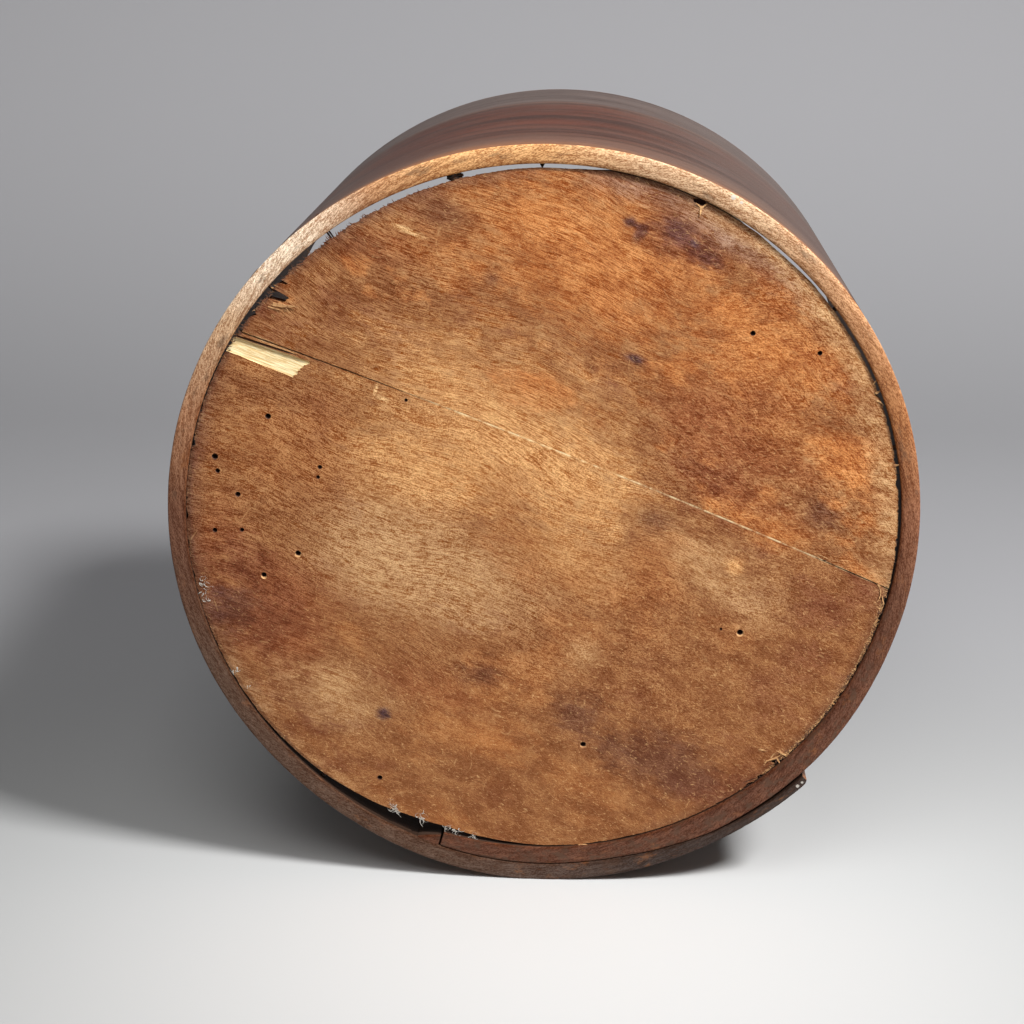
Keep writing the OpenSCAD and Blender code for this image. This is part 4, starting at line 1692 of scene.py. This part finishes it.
# Lamps: place, size of the square
KEY_LAMP = ((0.85, -0.68, 1.40), 0.32)
FILL_LAMP = ((-0.2, -1.3, 2.3), 1.4)


def seen_ray(tree):
    """1 for what the camera sees straight, in a reflection or through glass, and 0 for other light."""
    path = add(tree, "LightPath").outputs
    seen = maths("MAXIMUM", path["Is Camera Ray"], path["Is Glossy Ray"])
    return maths("MAXIMUM", seen, path["Is Transmission Ray"])


def sweep_paper():
    """Pale paper under and behind the measure, with a painted pool of light in front of it, painted shade
    farther off and in the bend, and a painted glow far off to the sides and in front.
    """
    tone = colours()
    material, tree, shader = new_material("sweep_paper")
    here = object_place(tree)
    place = add(tree, "SeparateXYZ", {0: here}).outputs
    # Painted pool of light: the paper is palest in front of the measure, with painted shade farther off and
    # a darker painted band where it starts to rise
    near = vectors("DISTANCE", here, LIGHT_POOL)
    paper = lay(
        tone.floor, (tone.floor_far_shade, near, 0.02, 0.40), (tone.bend, place["Y"], -0.16, 0.34),
        (tone.backdrop, place["Y"], 0.60, 1.45))
    # Painted glow: far off to the sides and in front, the paper glows for the camera alone
    aside = spread(maths("ABSOLUTE", place["X"]), 0.9, 2.4)
    painted_glow = maths("MAXIMUM", aside, spread(place["Y"], -0.8, -2.4))
    connect(shader, {
        "Base Color": paper,
        "Roughness": 0.9,
        "Specular IOR Level": 0.1,
        "Emission Color": (1, 1, 1, 1),
        "Emission Strength": times(times(painted_glow, seen_ray(tree)), SEEN_PAPER),
    })
    return material


def lamp(name, place, size, power):
    """Square soft lamp that points at the middle of the measure."""
    data = bpy.data.lights.new(name, "AREA")
    data.shape = "SQUARE"
    data.size = size
    data.energy = power
    item = bpy.data.objects.new(name, data)
    bpy.context.scene.collection.objects.link(item)
    item.location = place
    aim = Vector((0, 0, MIDDLE_Z)) - Vector(place)
    item.rotation_euler = aim.to_track_quat("-Z", "Y").to_euler()


class MEASURE_OT_stage(bpy.types.Operator):
    """Sets the floor, the lamps and the camera"""
    bl_idname = "measure.stage"
    bl_label = "Stage"

    def execute(self, context):
        view = context.scene.measure_view
        deselect()
        bpy.ops.mesh.primitive_plane_add(size=1, location=SWEEP_PLACE)
        sweep = context.active_object
        sweep.scale = SWEEP_SIZE
        settle(sweep, "floor_sweep")
        edit()
        choose(sweep, "EDGE", lambda edge: all(point.co.y > 1 for point in edge.verts))
        draw_out(0, 0, SWEEP_RISE)
        choose(sweep, "EDGE", lambda edge: all(p.co.y > 1 and p.co.z < 0.1 for p in edge.verts))
        bpy.ops.mesh.bevel(offset=SWEEP_BEND, offset_type="OFFSET", segments=24, affect="EDGES")
        leave()
        bpy.ops.object.shade_smooth()
        sweep.data.materials.append(sweep_paper())

        lamp("key_lamp", *KEY_LAMP, view.key_power)
        lamp("fill_lamp", *FILL_LAMP, view.fill_power)
        world = bpy.data.worlds.new("studio")
        world.use_nodes = True
        tree = world.node_tree
        level = spread(seen_ray(tree), 0, 1, view.ambient, SEEN_WORLD)
        connect(tree.nodes["Background"], {"Color": (1, 1, 1, 1), "Strength": level})
        context.scene.world = world
        context.scene.view_settings.view_transform = "Standard"

        data = bpy.data.cameras.new("camera")
        data.lens = view.lens
        data.sensor_width = 36
        camera = bpy.data.objects.new("camera", data)
        context.scene.collection.objects.link(camera)
        camera.location = view.eye
        camera.rotation_euler = (math.pi / 2 - view.pitch, 0, view.yaw)
        context.scene.camera = camera
        return {"FINISHED"}


class MEASURE_PT_panel(bpy.types.Panel):
    """Sizes, colours and steps of the grain measure"""
    bl_idname = "MEASURE_PT_panel"
    bl_label = "Grain Measure"
    bl_space_type = "VIEW_3D"
    bl_region_type = "UI"
    bl_category = "Measure"

    def draw(self, context):
        layout = self.layout
        for step in STEPS:
            layout.operator(step.bl_idname)
        for group in ("measure_sizes", "measure_colours", "measure_view"):
            box = layout.box()
            values = getattr(context.scene, group)
            for key in values.__annotations__:
                box.prop(values, key)


GROUPS = (MeasureSizes, MeasureColours, MeasureView)
STEPS = (MEASURE_OT_stage, MEASURE_OT_side_wall, MEASURE_OT_base_boards, MEASURE_OT_nails)


def register():
    """Adds the classes and their values to Blender."""
    for item in (*GROUPS, *STEPS, MEASURE_PT_panel):
        bpy.utils.register_class(item)
    bpy.types.Scene.measure_sizes = PointerProperty(type=MeasureSizes)
    bpy.types.Scene.measure_colours = PointerProperty(type=MeasureColours)
    bpy.types.Scene.measure_view = PointerProperty(type=MeasureView)


def unregister():
    """Takes the classes and their values out of Blender."""
    del bpy.types.Scene.measure_sizes
    del bpy.types.Scene.measure_colours
    del bpy.types.Scene.measure_view
    for item in (MEASURE_PT_panel, *reversed(STEPS), *reversed(GROUPS)):
        bpy.utils.unregister_class(item)


def main():
    """Builds the measure."""
    register()
    bpy.ops.measure.stage()
    bpy.ops.measure.side_wall()
    bpy.ops.measure.base_boards()
    bpy.ops.measure.nails()
    deselect()


if __name__ == "__main__":
    main()
